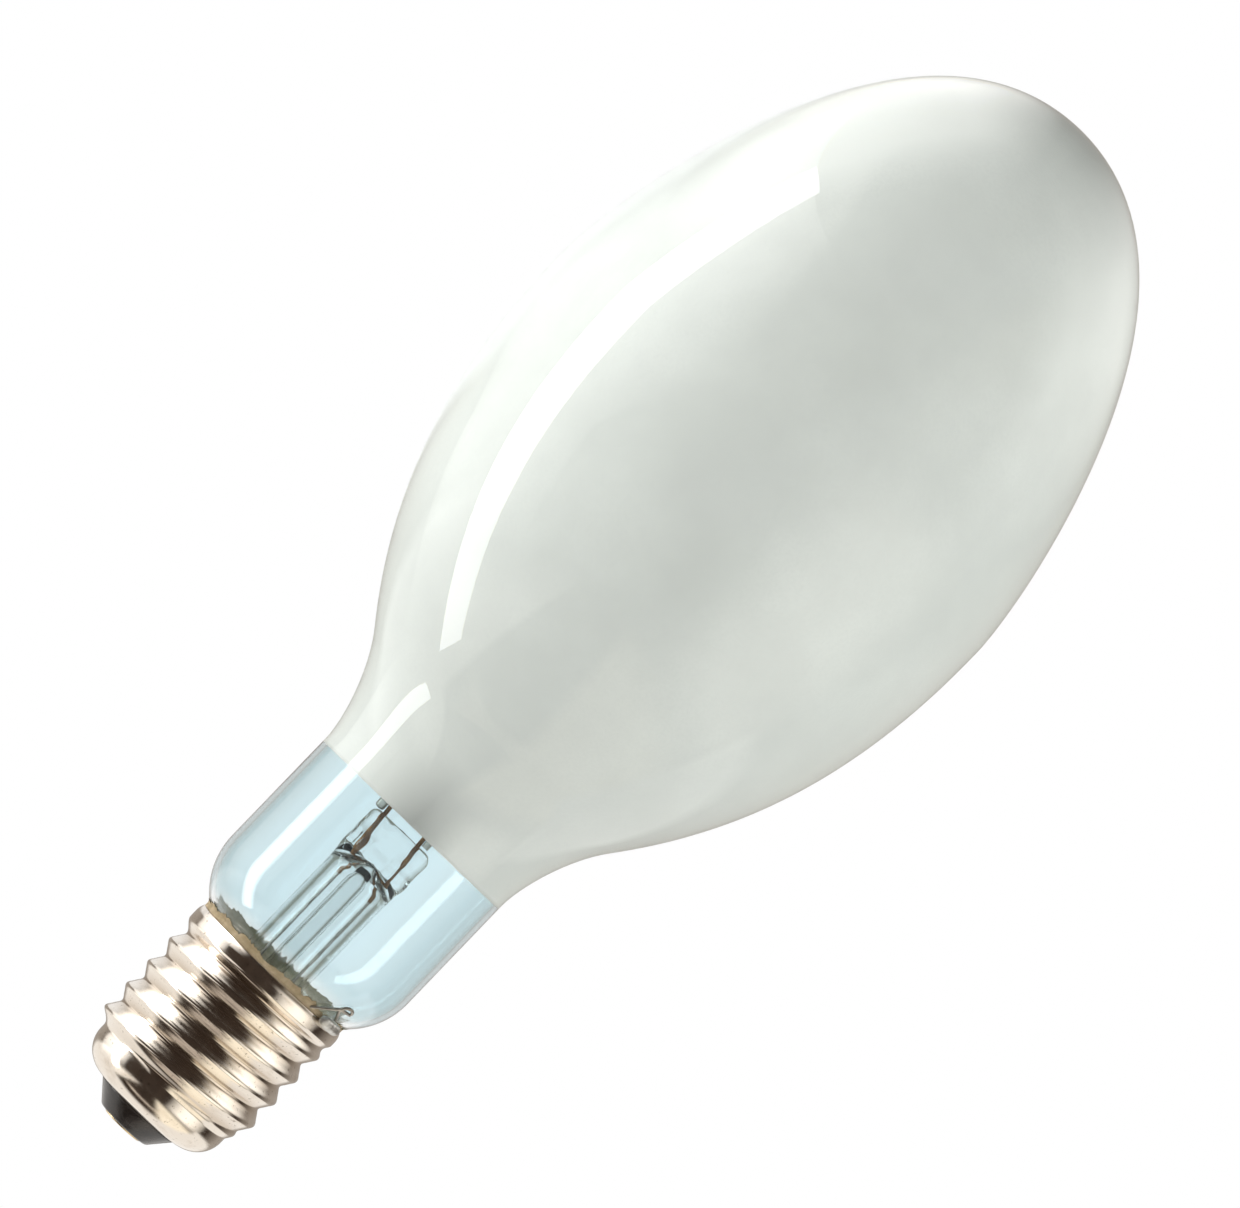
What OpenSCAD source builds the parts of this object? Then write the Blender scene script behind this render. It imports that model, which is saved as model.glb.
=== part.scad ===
// Metal halide lamp: ellipsoidal coated bulb with a clear neck on a 40 mm screw cap.
// The Z axis is the lamp's axis, from the centre contact up to the dome.
// The origin is the middle of the outer face of the centre contact.
// The side lead comes out at the front right, and the mount inside lies in the XZ plane.

/* [Cap] */
// Outside diameter over the thread crests
thread_d = 39.4; // [37:0.1:42]
// Height of a thread crest over the root
thread_depth = 1.8; // [1:0.1:2.4]
// Rise of the thread in one turn
thread_pitch = 6.35; // [5:0.05:8]
// Sheet thickness of the shell
shell_t = 0.5; // [0.3:0.05:0.6]
// Diameter over the smooth rolled bead under the rim
bead_d = 39.5; // [37:0.1:42]
// Diameter of the smooth belly under the thread
belly_d = 34.2; // [31:0.1:35]
// Diameter where the foot of the shell turns in
foot_d = 20.6; // [18:0.1:30]
// Height of the foot of the shell over the contact face
foot_z = 5; // [4:0.1:9]
// Height of the shell from foot to rim
shell_h = 39.4; // [34:0.1:44]
// Height over which the foot of the shell turns in
foot_h = 6.5; // [3:0.1:8]
// Diameter of the insulator's end face
insulator_end_d = 12.4; // [11:0.1:16]
// Diameter of the centre contact
contact_d = 9.6; // [8:0.1:10]
// Thickness of the centre contact
contact_t = 1.2; // [0.8:0.1:2]
// How far the contact stands out of the insulator
contact_stand = 0.4; // [0.2:0.1:0.7]

/* [Bulb] */
// Outside diameter of the clear neck
neck_d = 50.2; // [46:0.1:54]
// Radius of the shoulder that turns the neck into the cap
shoulder_r = 17; // [14:0.5:18]
// Height of the top of the shoulder over the rim of the shell
shoulder_h = 14.2; // [13.8:0.1:16]
// Length of the straight neck
neck_len = 27.8; // [22:0.1:36]
// Height from the neck to where the flare is steepest
flare_h = 23.4; // [20:0.1:28]
// Outside diameter where the flare is steepest
flare_d = 67.5; // [64:0.1:71]
// Angle of the steepest glass to the axis
flare_angle = 37.8; // [34:0.1:42]
// Outside diameter at the widest place
body_d = 119.7; // [110:0.1:126]
// Height from the neck to the widest place
body_h = 106; // [97:0.1:116]
// Height of the dome over the widest place
dome_h = 93.6; // [82:0.1:106]
// Wall of the bulb
glass_t = 1.2; // [0.8:0.1:1.6]
// Thickness of the white coat
coat_t = 0.15; // [0.1:0.01:0.3]
// How far the coat reaches down into the neck
coat_drop = 0.9; // [0:0.1:8]

/* [Stem] */
// How far the glass reaches down into the cap from the rim
glass_depth = 16.4; // [12:0.1:20]
// Height of the stem from the flare's edge to the top of the seal
stem_h = 55.4; // [50:0.1:62]
// Outside diameter of the stem tube
stem_d = 15.5; // [14:0.1:18]
// Wall of the stem tube
stem_wall = 1.5; // [1:0.1:1.8]
// Height of the pressed seal
press_h = 9; // [7:0.1:12]
// Width of the pressed seal
press_w = 16.2; // [15:0.1:20]
// Thickness of the pressed seal
press_t = 6.4; // [5:0.1:7.5]
// Outside diameter of the exhaust tube
exhaust_d = 4.6; // [4:0.1:5]
// Wall of the exhaust tube
exhaust_wall = 0.8; // [0.5:0.1:1.2]
// Diameter of the wires pressed into the seal
seal_wire_d = 1; // [0.8:0.05:1.2]
// Diameter of the two leads below the seal
lead_d = 0.7; // [0.5:0.05:0.75]
// Angle of the side lead from the front towards the right
lead_angle = 35; // [25:1:45]

/* [Mount] */
// Diameter of the frame wire
frame_d = 2.2; // [1.8:0.1:2.6]
// Distance between the axes of the frame's two legs
frame_w = 38; // [34:0.5:41]
// Height of the axis of the frame's top bar over the end of the upper tube lead
frame_over = 4; // [3:0.1:8]
// Bend radius of the frame wire
frame_bend = 10; // [6:0.5:14]
// Diameter of the lower post
post_d = 1.6; // [1.2:0.1:2]
// Height of the getter ring over the seal
getter_h = 28.6; // [26:0.1:40]
// Outside diameter of the ceramic sleeves
sleeve_d = 4.2; // [3.8:0.1:6]
// Length of the ceramic sleeves
sleeve_len = 62; // [50:1:64]
// Thickness of the clamp straps
strap_t = 0.4; // [0.3:0.05:0.6]
// Height of the clamp straps
strap_h = 6; // [4:0.5:10]
// Mean diameter of the getter ring
getter_d = 9; // [7:0.1:10]
// Thickness of the getter ring
getter_t = 1.6; // [1:0.1:2]

/* [Arc tube] */
// Height of the middle of the arc tube over the seal
arc_h = 96.6; // [96:0.1:100]
// Outside diameter of the chamber
chamber_d = 20; // [18:0.1:24]
// Length of the chamber
chamber_len = 58; // [54:0.5:60]
// Wall of the quartz tube
quartz_t = 1.3; // [1:0.1:1.8]
// Width of a pinch
pinch_w = 20; // [18:0.1:22]
// Thickness of a pinch at its ribs
pinch_t = 4.6; // [4:0.1:5.4]
// Length of a pinch
pinch_len = 18; // [16:0.5:19]
// How far the electrodes reach into the chamber
electrode_reach = 5.4; // [4.8:0.1:8]
// Diameter of the electrode rods
electrode_d = 1.1; // [0.8:0.05:1.3]
// Outside diameter of the electrode coils
coil_d = 2.8; // [2.4:0.1:3.4]
// Width of the sealing foils
foil_w = 3.5; // [3:0.1:5]
// Length of the sealing foils
foil_len = 12; // [10:0.5:13]
// Diameter of the wires that leave the pinches
tube_lead_d = 1.2; // [1:0.05:1.4]
// Length of the wire that leaves the upper pinch
upper_lead_out = 9; // [8:0.5:11]
// Length of the wire that leaves the lower pinch
lower_lead_out = 20; // [16:0.5:24]

/* [Hidden] */
$fn = 96;

// Gap left where two pieces are soldered, sealed or laid against each other
seat = 0.05;
// Gap between pieces that are only slipped together
slip = 0.15;
// How far a cutting shape runs past what it cuts
past = 1;

// Heights of the main stations
rim_z = foot_z + shell_h;
shoulder_z = rim_z + shoulder_h;
neck_z = shoulder_z + neck_len;
flare_z = neck_z + flare_h;
wide_z = neck_z + body_h;
top_z = wide_z + dome_h;
glass_z = rim_z - glass_depth;
seal_z = glass_z + stem_h;
coat_z = neck_z - coat_drop;
arc_z = seal_z + arc_h;

// Thread of the shell
shell_sides = 40;
ring_step = 0.62;
inner_ring_step = 1;
thread_run_in = 3;
thread_z0 = 18.6;
belly_z = foot_z + foot_h;
thread_from_z = belly_z + 0.9;
bead_z = rim_z - 1.9;
thread_to_z = bead_z - 1;
pitch_r = (thread_d - thread_depth) / 2;
thread_in_r = thread_d / 2 - thread_depth - shell_t;
bead_curl = 0.5;
foot_flange = 1.8;

// Insulator and contact
insulator_z = contact_stand;
insulator_top_z = foot_z + 3.1;
insulator_edge = 0.4;
eyelet_d = 4.8;
eyelet_wall = 1;
eyelet_flare = 0.8;
eyelet_head = 0.6;
solder_dish_d = 5;
solder_dish = 0.5;
contact_lead_z = 0.65;

// Glass inside the cap
cap_glass_r = thread_in_r - lead_d - 2 * slip - 0.1;
fillet_r = 3;
shoulder_mid = [neck_d / 2 - shoulder_r, shoulder_z];
fillet_mid = [
    cap_glass_r + fillet_r,
    shoulder_z - sqrt(pow(shoulder_r + fillet_r, 2) - pow(cap_glass_r + fillet_r - shoulder_mid[0], 2))
];
fillet_turn = acos((fillet_mid[0] - shoulder_mid[0]) / (shoulder_r + fillet_r));

// Pulls of the three curves that make the body of the bulb
neck_pull = 5;
flare_pull_down = 9;
flare_pull_up = 32.5;
body_pull_down = 29.9;
body_pull_up = 15;
dome_pull = 46.9;

// Cement between the neck and the shell
cement_z = glass_z + 4;
cement_out_r = thread_in_r - slip;
cement_step_z = thread_to_z - 2;
cement_bead_z = thread_to_z + 0.3;
bead_in_r = bead_d / 2 - shell_t - bead_curl - slip;
cement_lip_r = bead_d / 2 - bead_curl - 0.1;
cement_slot = lead_d + 1;

// Solder at the rim, in the corner between the rim and the shoulder
solder_mid = [bead_d / 2 + 0.9, rim_z + 0.3];
solder_r = min(
    norm(solder_mid - shoulder_mid) - shoulder_r,
    norm(solder_mid - [bead_d / 2 - bead_curl, rim_z])
) - 2 * seat;
solder_from = lead_angle + 8;
solder_to = solder_from + 22;
solder_steps = 12;
solder_sides = 14;
solder_taper = 0.95;

// Stem
flare_edge_h = 1.5;
flare_r = cap_glass_r - glass_t - seat;
trumpet_h = 16;
trumpet_pull_low = [-4, 2.5];
trumpet_pull_high = [0, 9];
press_z = seal_z - press_h;
fan_h = 5;
fan_z = press_z - fan_h;
press_round = 2;
bore_top_z = press_z - 2;
bore_cone_h = 5;
exhaust_tip_z = glass_z - 2.4;

// Leads and seal wires: place of each at its lower end and lean outwards over its height
seal_wire_z = fan_z - 1;
seal_wire_top = 2.6;
side_wire_x = -4;
side_wire_lean = -1.7;
centre_wire_x = 4.9;
centre_wire_lean = -1;
lead_turn_z = glass_z - 5.4;
lead_r = cap_glass_r + slip + lead_d / 2;
lead_bend = 3;
lead_from_rim = 1.2;
lead_over_rim = 0.2;
centre_lead_low_z = insulator_top_z + 6;
loop_foot_z = rim_z + 0.8;
loop_neck_z = rim_z + 4.4;
loop_rise = 1.4;
loop_turn = 9;
loop_half = 4;
loop_steps = 6;
loop_end_z = solder_mid[1] + solder_r + lead_d / 2 + seat;
wire_sides = 10;

// Frame inside the bulb
leg_x = frame_w / 2;
frame_foot_x = side_wire_x + side_wire_lean - seal_wire_d / 2 - frame_d / 2 - seat;
frame_foot_z = seal_z + 0.6;
wire_lap = (frame_foot_z - seal_wire_z) / (seal_z + seal_wire_top - seal_wire_z);
upper_lead_z = arc_z + chamber_len / 2 + pinch_len + upper_lead_out;
lower_lead_z = arc_z - chamber_len / 2 - pinch_len - lower_lead_out;
frame_z = upper_lead_z + frame_over;
frame_knee = 5;
sleeve_gap = 0.5;
frame_spread = 16;
leg_end_z = seal_z + 20;
post_x = centre_wire_x + centre_wire_lean * wire_lap + seal_wire_d / 2 + post_d / 2 + seat;
clamp_up = max(chamber_len / 2 + pinch_len / 2, sleeve_len / 2 + sleeve_gap + strap_h / 2);
strap_y = pinch_t / 2 + seat + strap_t / 2;
strap_end_y = frame_d / 2 + seat + strap_t / 2;
strap_ease = 1;
strap_lap = 2;
getter_z = seal_z + getter_h;
getter_mid = [-leg_x + 10, 8];
getter_post_d = 1;
getter_post_h = 9;
getter_post_bend = 2;
connector_t = 0.4;
connector_h = 3;
connector_over = 1.4;
connector_z = lower_lead_z + connector_over;
link_d = 0.8;
link_lap = 7;
link_rise = 5;
link_reach = 4;
link_bend = 2;

// Arc tube
chamber_end = 7;
web_t = pinch_t - 1.2;
cavity_h = chamber_len / 2 - 2 * quartz_t;
tip_up = cavity_h - electrode_reach;
foil_t = 0.1;
foil_in = 3;
foil_y = max(electrode_d, tube_lead_d) / 2 + seat;
rod_lap = 1.5;
coil_pack = 0.9;
coil_turns = 5;
coil_back = 0.8;
nib_d = 4;
nib_tip_d = 1.4;
nib_h = 2.6;

// Eases from 0 at a to 1 at b
function ramp(z, a, b) =
    let (t = min(1, max(0, (z - a) / (b - a))))
    t * t * (3 - 2 * t);

// Points of a cubic curve with the four poles p, in n steps
function curve(p, n) = [
    for (i = [0:n])
    let (t = i / n, s = 1 - t)
    s * s * s * p[0] + 3 * s * s * t * p[1] + 3 * s * t * t * p[2] + t * t * t * p[3]
];

// Points of an arc about mid from angle a to angle b, in n steps
function arc(mid, r, a, b, n) = [
    for (i = [0:n])
    let (w = a + (b - a) * i / n)
    mid + r * [cos(w), sin(w)]
];

// The same outline moved to its left by d, which is inwards on an outline drawn upwards
function moved(p, d) = [
    for (i = [0:len(p) - 1])
    let (v = p[min(i + 1, len(p) - 1)] - p[max(i - 1, 0)])
    p[i] + d * [-v[1], v[0]] / norm(v)
];

// An outline kept on its own side of the axis
function off_axis(p) = [for (q = p) [max(0, q[0]), q[1]]];

function reversed(p) = [for (i = [len(p) - 1:-1:0]) p[i]];

// All points but the first, which is the last one of the curve before
function rest(p) = [for (i = [1:len(p) - 1]) p[i]];

// Only the points above height z, closed by one at that height
function above(p, z) =
    let (kept = [for (q = p) if (q[1] > z) q])
    concat([[kept[0][0], z]], kept);

// Outside of the bulb in the half plane, from the lower edge up to the dome
function bulb_outline() =
    let (
        slope = [sin(flare_angle), cos(flare_angle)],
        join = [flare_d / 2, flare_z],
        neck = [neck_d / 2, neck_z],
        wide = [body_d / 2, wide_z],
        top = [0, top_z]
    )
    concat(
        [[cap_glass_r, glass_z]],
        arc(fillet_mid, fillet_r, 180, 180 - fillet_turn, 8),
        rest(arc(shoulder_mid, shoulder_r, -fillet_turn, 0, 14)),
        curve([neck, neck + [0, neck_pull], join - flare_pull_down * slope, join], 12),
        rest(curve([join, join + flare_pull_up * slope, wide - [0, body_pull_down], wide], 26)),
        rest(curve([wide, wide + [0, body_pull_up], top + [dome_pull, 0], top], 34))
    );

// Radius of the shell's outer (t = 0) or inner (t = shell_t) face at height z and angle a
function shell_r(z, a, t) =
    let (
        foot_up = belly_z - foot_z - t,
        foot_part = sqrt(max(0, 1 - pow(max(0, belly_z - z) / foot_up, 2))),
        plain = foot_d / 2 + (belly_d / 2 - t - foot_d / 2) * foot_part,
        run_in = ramp(z, thread_from_z, thread_from_z + thread_run_in),
        run_out = ramp(z, thread_to_z - thread_run_in, thread_to_z),
        curl = bead_curl * pow(max(0, z - bead_z) / (rim_z - bead_z), 2),
        wave = thread_depth / 2 * cos(360 * (z - thread_z0) / thread_pitch - a)
    )
    plain + (pitch_r - belly_d / 2) * run_in + (bead_d / 2 - pitch_r) * run_out
        + wave * run_in * (1 - run_out) - curl;

function evenly(a, b, step) =
    let (n = ceil((b - a) / step))
    [for (i = [0:n]) a + (b - a) * i / n];

// Heights of the rings of one face of the shell, from the foot to the rim
function shell_heights(t, step) = concat(
    [for (w = [0:15:75]) belly_z - (belly_z - foot_z - t) * cos(w)],
    evenly(belly_z, rim_z, step)
);

function unit(v) = v / norm(v);

function tangent(p, i) = unit(p[min(i + 1, len(p) - 1)] - p[max(i - 1, 0)]);

// One normal for each point of a path, carried along it without twist
function carried(p, n, i = 0) =
    let (t = tangent(p, i), m = unit(n - (n * t) * t))
    i == len(p) - 1 ? [m] : concat([m], carried(p, m, i + 1));

// A path of straight runs with each corner rounded over the length r on both sides
function rounded(p, r, n = 5) = [
    for (i = [0:len(p) - 1])
    let (
        inner = i > 0 && i < len(p) - 1,
        in = inner ? p[i] - p[i - 1] : [0, 0, 1],
        out = inner ? p[i + 1] - p[i] : [0, 0, 1],
        cut = inner ? min(r, 0.45 * norm(in), 0.45 * norm(out)) : 0,
        a = p[i] - cut * unit(in),
        b = p[i] + cut * unit(out)
    )
    for (k = [0:inner ? n : 0])
    let (t = k / n)
    (1 - t) * (1 - t) * a + 2 * (1 - t) * t * p[i] + t * t * b
];

// A point at radius r, height z and angle a from the front towards the right
function around(r, a, z) = [r * sin(a), -r * cos(a), z];

// Radius of the shoulder at height z, moved out by d
function shoulder_at(z, d) = shoulder_mid[0] + sqrt(pow(shoulder_r + d, 2) - pow(shoulder_z - z, 2));

// A round bar along a path, with its own diameter at each point, s sides and the first normal n
module swept(path, diameters, n, s) {
    normals = carried(path, n);
    points = [
        for (i = [0:len(path) - 1])
        let (u = normals[i], v = cross(tangent(path, i), u))
        for (k = [0:s - 1])
        path[i] + diameters[i] / 2 * (cos(360 * k / s) * u + sin(360 * k / s) * v)
    ];
    last = (len(path) - 1) * s;
    sides = [
        for (i = [0:len(path) - 2], k = [0:s - 1])
        let (a = i * s + k, b = i * s + (k + 1) % s)
        each [[a, a + s, b + s], [a, b + s, b]]
    ];
    ends = [[for (k = [0:s - 1]) k], [for (k = [s - 1:-1:0]) last + k]];
    polyhedron(points = points, faces = concat(sides, ends), convexity = 6);
}

// A round wire along a path
module wire(path, d) {
    swept(path, [for (q = path) d], [0, 1, 0], wire_sides);
}

// A straight rod between two points
module rod(a, b, d) {
    v = b - a;
    translate(a)
    rotate([0, acos(v[2] / norm(v)), atan2(v[1], v[0])])
    cylinder(d = d, h = norm(v));
}

// A sheet strip of thickness t and height h along a path in the XY plane
module strip(path, t, h) {
    linear_extrude(height = h)
    polygon(concat(moved(path, t / 2), reversed(moved(path, -t / 2))));
}

// Places what is drawn for the upper end of the arc tube at the upper or the lower end
module at_end(up) {
    translate([0, 0, arc_z])
    mirror([0, 0, up ? 0 : 1])
    children();
}

module screw_shell() {
    outer = shell_heights(0, ring_step);
    inner = reversed(shell_heights(shell_t, inner_ring_step));
    flange_r = foot_d / 2 - foot_flange;
    n = len(outer) + len(inner) + 2;
    s = shell_sides;
    points = [
        for (j = [0:s - 1])
        let (
            a = 360 * j / s,
            profile = concat(
                [[flange_r, foot_z]],
                [for (z = outer) [shell_r(z, a, 0), z]],
                [for (z = inner) [shell_r(z, a, shell_t), z]],
                [[flange_r, foot_z + shell_t]]
            )
        )
        for (q = profile) [q[0] * cos(a), q[0] * sin(a), q[1]]
    ];
    faces = [
        for (j = [0:s - 1], i = [0:n - 1])
        let (
            k = (j + 1) % s,
            m = (i + 1) % n,
            a = j * n + i,
            b = j * n + m,
            c = k * n + m,
            d = k * n + i
        )
        each [[a, b, c], [a, c, d]]
    ];
    color("silver")
    polyhedron(points = points, faces = faces, convexity = 12);
}

module cap_insulator() {
    hole_r = foot_d / 2 - foot_flange - slip;
    rim_r = foot_d / 2 - slip;
    end_r = insulator_end_d / 2;
    under_z = foot_z - seat;
    over_z = foot_z + shell_t + seat;
    color([0.13, 0.11, 0.1])
    difference() {
        rotate_extrude()
        polygon([
            [0, insulator_z], [end_r - insulator_edge, insulator_z], [end_r, insulator_z + insulator_edge],
            [rim_r, under_z], [hole_r, under_z], [hole_r, over_z],
            [rim_r, over_z], [rim_r, insulator_top_z], [0, insulator_top_z]
        ]);
        cylinder(d = contact_d + 2 * seat, h = contact_t + seat);
        cylinder(d = eyelet_d + 2 * seat, h = insulator_top_z + past);
    }
}

module contact_eyelet() {
    bore_r = eyelet_d / 2 - eyelet_wall;
    head_z = insulator_top_z + seat;
    edge = 0.2;
    color("goldenrod")
    rotate_extrude()
    polygon([
        [solder_dish_d / 2, 0], [contact_d / 2 - edge, 0], [contact_d / 2, edge], [contact_d / 2, contact_t],
        [eyelet_d / 2, contact_t], [eyelet_d / 2, head_z], [eyelet_d / 2 + eyelet_flare, head_z],
        [eyelet_d / 2 + eyelet_flare, head_z + eyelet_head], [bore_r, head_z + eyelet_head],
        [bore_r, solder_dish], [solder_dish_d / 2 - solder_dish, solder_dish]
    ]);
}

module contact_solder() {
    bore_r = eyelet_d / 2 - eyelet_wall - seat;
    lead_hole_r = lead_d / 2 + seat;
    face_z = 0.1;
    face_r = 1;
    solder_top_z = 4;
    color("lightgray")
    rotate_extrude()
    polygon([
        [0, face_z], [face_r, face_z], [solder_dish_d / 2 - solder_dish - 2 * seat, solder_dish - seat],
        [bore_r, solder_dish - seat], [bore_r, solder_top_z],
        [lead_hole_r, solder_top_z], [lead_hole_r, contact_lead_z - seat], [0, contact_lead_z - seat]
    ]);
}

module side_solder() {
    n = solder_steps;
    path = [
        for (i = [0:n])
        around(solder_mid[0], solder_from + (solder_to - solder_from) * i / n, solder_mid[1])
    ];
    color("lightgray")
    swept(
        path,
        [for (i = [0:n]) 2 * solder_r * sqrt(1 - solder_taper * pow(2 * i / n - 1, 4))],
        [0, 0, 1], solder_sides
    );
}

module cap_cement() {
    glass_side = concat(
        [[cap_glass_r + seat, cement_z]],
        arc(fillet_mid, fillet_r - seat, 180, 180 - fillet_turn, 8),
        [
            for (q = rest(arc(shoulder_mid, shoulder_r + seat, -fillet_turn, 0, 40)))
            if (q[0] < cement_lip_r) q
        ]
    );
    lip_z = shoulder_z - sqrt(pow(shoulder_r + seat, 2) - pow(cement_lip_r - shoulder_mid[0], 2));
    shell_side = [
        [cement_lip_r, lip_z], [cement_lip_r, rim_z + seat], [bead_in_r, rim_z + seat],
        [bead_in_r, cement_bead_z], [cement_out_r, cement_step_z], [cement_out_r, cement_z]
    ];
    color([0.55, 0.52, 0.38])
    difference() {
        rotate_extrude()
        polygon(concat(glass_side, shell_side));
        rotate([0, 0, lead_angle])
        translate([-cement_slot / 2, -bead_d / 2, cement_z - past])
        cube([cement_slot, bead_d / 2 - cap_glass_r + past, rim_z - cement_z + 3 * past]);
    }
}

module outer_bulb() {
    outline = bulb_outline();
    color([0.8, 0.9, 0.95, 0.4])
    rotate_extrude()
    polygon(concat(outline, reversed(off_axis(moved(outline, glass_t)))));
}

module inner_coating() {
    outline = bulb_outline();
    outer = above(moved(outline, glass_t + seat), coat_z);
    inner = above(moved(outline, glass_t + seat + coat_t), coat_z);
    color("white")
    rotate_extrude()
    polygon(off_axis(concat(outer, reversed(inner))));
}

// Outside of the stem from the flare's edge up to the pressed part
function stem_outline() =
    let (edge = [flare_r, glass_z + flare_edge_h], tube = [stem_d / 2, glass_z + flare_edge_h + trumpet_h])
    concat(
        [[flare_r, glass_z]],
        curve([edge, edge + trumpet_pull_low, tube - trumpet_pull_high, tube], 14),
        [[stem_d / 2, bore_top_z - bore_cone_h]]
    );

// The pressed seal before its upper corners are rounded
module press_slab() {
    linear_extrude(height = press_h)
    intersection() {
        circle(d = press_w);
        square([2 * press_w, press_t], center = true);
    }
}

module stem() {
    outline = stem_outline();
    color([0.8, 0.9, 0.95, 0.4])
    difference() {
        union() {
            rotate_extrude()
            polygon(concat([[0, glass_z]], outline, [[stem_d / 2, fan_z], [0, fan_z]]));
            intersection() {
                translate([0, 0, fan_z])
                cylinder(d1 = stem_d, d2 = press_w, h = fan_h);
                rotate([90, 0, 90])
                translate([0, 0, -press_w])
                linear_extrude(height = 2 * press_w)
                polygon([
                    [-stem_d / 2, fan_z], [stem_d / 2, fan_z],
                    [press_t / 2, press_z], [-press_t / 2, press_z]
                ]);
            }
            intersection() {
                translate([0, 0, press_z])
                press_slab();
                rotate([90, 0, 0])
                translate([0, 0, -press_w])
                linear_extrude(height = 2 * press_w)
                union() {
                    translate([-press_w / 2, press_z])
                    square([press_w, press_h - press_round]);
                    translate([press_round - press_w / 2, press_z])
                    square([press_w - 2 * press_round, press_h]);
                    for (side = [-1, 1])
                    translate([side * (press_w / 2 - press_round), seal_z - press_round])
                    circle(r = press_round);
                }
            }
        }
        rotate_extrude()
        polygon(concat(
            [[0, glass_z - past], [flare_r - stem_wall, glass_z - past]],
            moved(outline, stem_wall),
            [[exhaust_d / 2, bore_top_z], [0, bore_top_z]]
        ));
        side_seal_rod(seal_wire_d + 2 * seat);
        centre_seal_rod(seal_wire_d + 2 * seat);
    }
}

module exhaust_tube() {
    r = exhaust_d / 2;
    bore_r = r - exhaust_wall;
    color([0.8, 0.9, 0.95, 0.4])
    rotate_extrude()
    polygon(concat(
        arc([0, exhaust_tip_z + r], r, -90, 0, 8),
        [[r, bore_top_z], [bore_r, bore_top_z]],
        arc([0, exhaust_tip_z + r], bore_r, 0, -90, 8)
    ));
}

module side_seal_rod(d) {
    rod([side_wire_x, 0, seal_wire_z], [side_wire_x + side_wire_lean, 0, seal_z + seal_wire_top], d);
}

module centre_seal_rod(d) {
    rod([centre_wire_x, 0, seal_wire_z], [centre_wire_x + centre_wire_lean, 0, seal_z + seal_wire_top], d);
}

module side_seal_wire() {
    color([0.45, 0.3, 0.12])
    side_seal_rod(seal_wire_d);
}

module centre_seal_wire() {
    color([0.45, 0.3, 0.12])
    centre_seal_rod(seal_wire_d);
}

// Down the stem, round the lower edge of the neck, up between neck and shell and over the rim
module side_lead() {
    hug = lead_d / 2 + 2 * seat;
    loop_mid = lead_angle + loop_turn + loop_half;
    inside = rounded([
        [side_wire_x, 0, seal_wire_z - seat],
        [side_wire_x, 0, lead_turn_z],
        around(lead_r, lead_angle, lead_turn_z),
        around(lead_r, lead_angle, thread_to_z - 1)
    ], lead_bend);
    over_rim = [
        around((lead_r + bead_in_r) / 2, lead_angle, rim_z - lead_from_rim),
        around(shoulder_at(rim_z - lead_over_rim, hug), lead_angle, rim_z - lead_over_rim)
    ];
    up_shoulder = [
        for (t = [0:0.2:1])
        let (z = loop_foot_z + (loop_neck_z - loop_foot_z) * t)
        around(shoulder_at(z, hug), lead_angle + loop_turn * t, z)
    ];
    turn = [
        for (i = [1:loop_steps])
        let (w = 180 - 180 * i / loop_steps, z = loop_neck_z + loop_rise * sin(w))
        around(shoulder_at(z, hug), loop_mid - loop_half * cos(w), z)
    ];
    back = around(shoulder_at(loop_end_z, hug), loop_mid + loop_half + 1, loop_end_z);
    color([0.35, 0.32, 0.3])
    wire(concat(inside, over_rim, up_shoulder, turn, [back]), lead_d);
}

module centre_lead() {
    color([0.35, 0.32, 0.3])
    wire(rounded([
        [centre_wire_x, 0, seal_wire_z - seat],
        [centre_wire_x, 0, glass_z - 1],
        [0, 0, centre_lead_low_z],
        [0, 0, contact_lead_z]
    ], lead_bend), lead_d);
}

module frame_wire() {
    color("silver")
    wire(rounded([
        [frame_foot_x, 0, frame_foot_z],
        [frame_foot_x, 0, seal_z + frame_knee],
        [-leg_x, 0, seal_z + frame_knee + frame_spread],
        [-leg_x, 0, frame_z],
        [leg_x, 0, frame_z],
        [leg_x, 0, leg_end_z]
    ], frame_bend), frame_d);
}

module lower_post() {
    color("silver")
    translate([post_x, 0, frame_foot_z])
    cylinder(d = post_d, h = connector_z + connector_h - frame_foot_z);
}

module rod_sleeve(side) {
    color("ivory")
    translate([side * leg_x, 0, arc_z - sleeve_len / 2])
    difference() {
        cylinder(d = sleeve_d, h = sleeve_len);
        translate([0, 0, -past])
        cylinder(d = frame_d + 2 * slip, h = sleeve_len + 2 * past);
    }
}

module rod_sleeve_left() { rod_sleeve(-1); }

module rod_sleeve_right() { rod_sleeve(1); }

// A strap that lies on one face of a pinch and on both legs; side is -1 at the front
module clamp(side, up) {
    half = [
        [pinch_w / 2 + strap_ease, strap_y],
        [leg_x - strap_lap, strap_end_y],
        [leg_x + strap_lap, strap_end_y]
    ];
    path = [
        for (x = [-1, 1], i = x < 0 ? [2:-1:0] : [0:2])
        [x * half[i][0], side * half[i][1]]
    ];
    color("silver")
    translate([0, 0, arc_z + (up ? 1 : -1) * clamp_up - strap_h / 2])
    strip(path, strap_t, strap_h);
}

module upper_clamp_front() { clamp(-1, true); }

module upper_clamp_back() { clamp(1, true); }

module lower_clamp_front() { clamp(-1, false); }

module lower_clamp_back() { clamp(1, false); }

module upper_connector() {
    x = (tube_lead_d + link_d) / 2 + seat;
    low_z = upper_lead_z - link_lap;
    bar_z = frame_z - (frame_d + link_d) / 2 - seat;
    bar_x = x + link_reach;
    color("silver")
    wire(rounded([
        [x, 0, low_z], [x, 0, low_z + link_rise], [bar_x, 0, bar_z], [bar_x + link_reach, 0, bar_z]
    ], link_bend), link_d);
}

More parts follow.
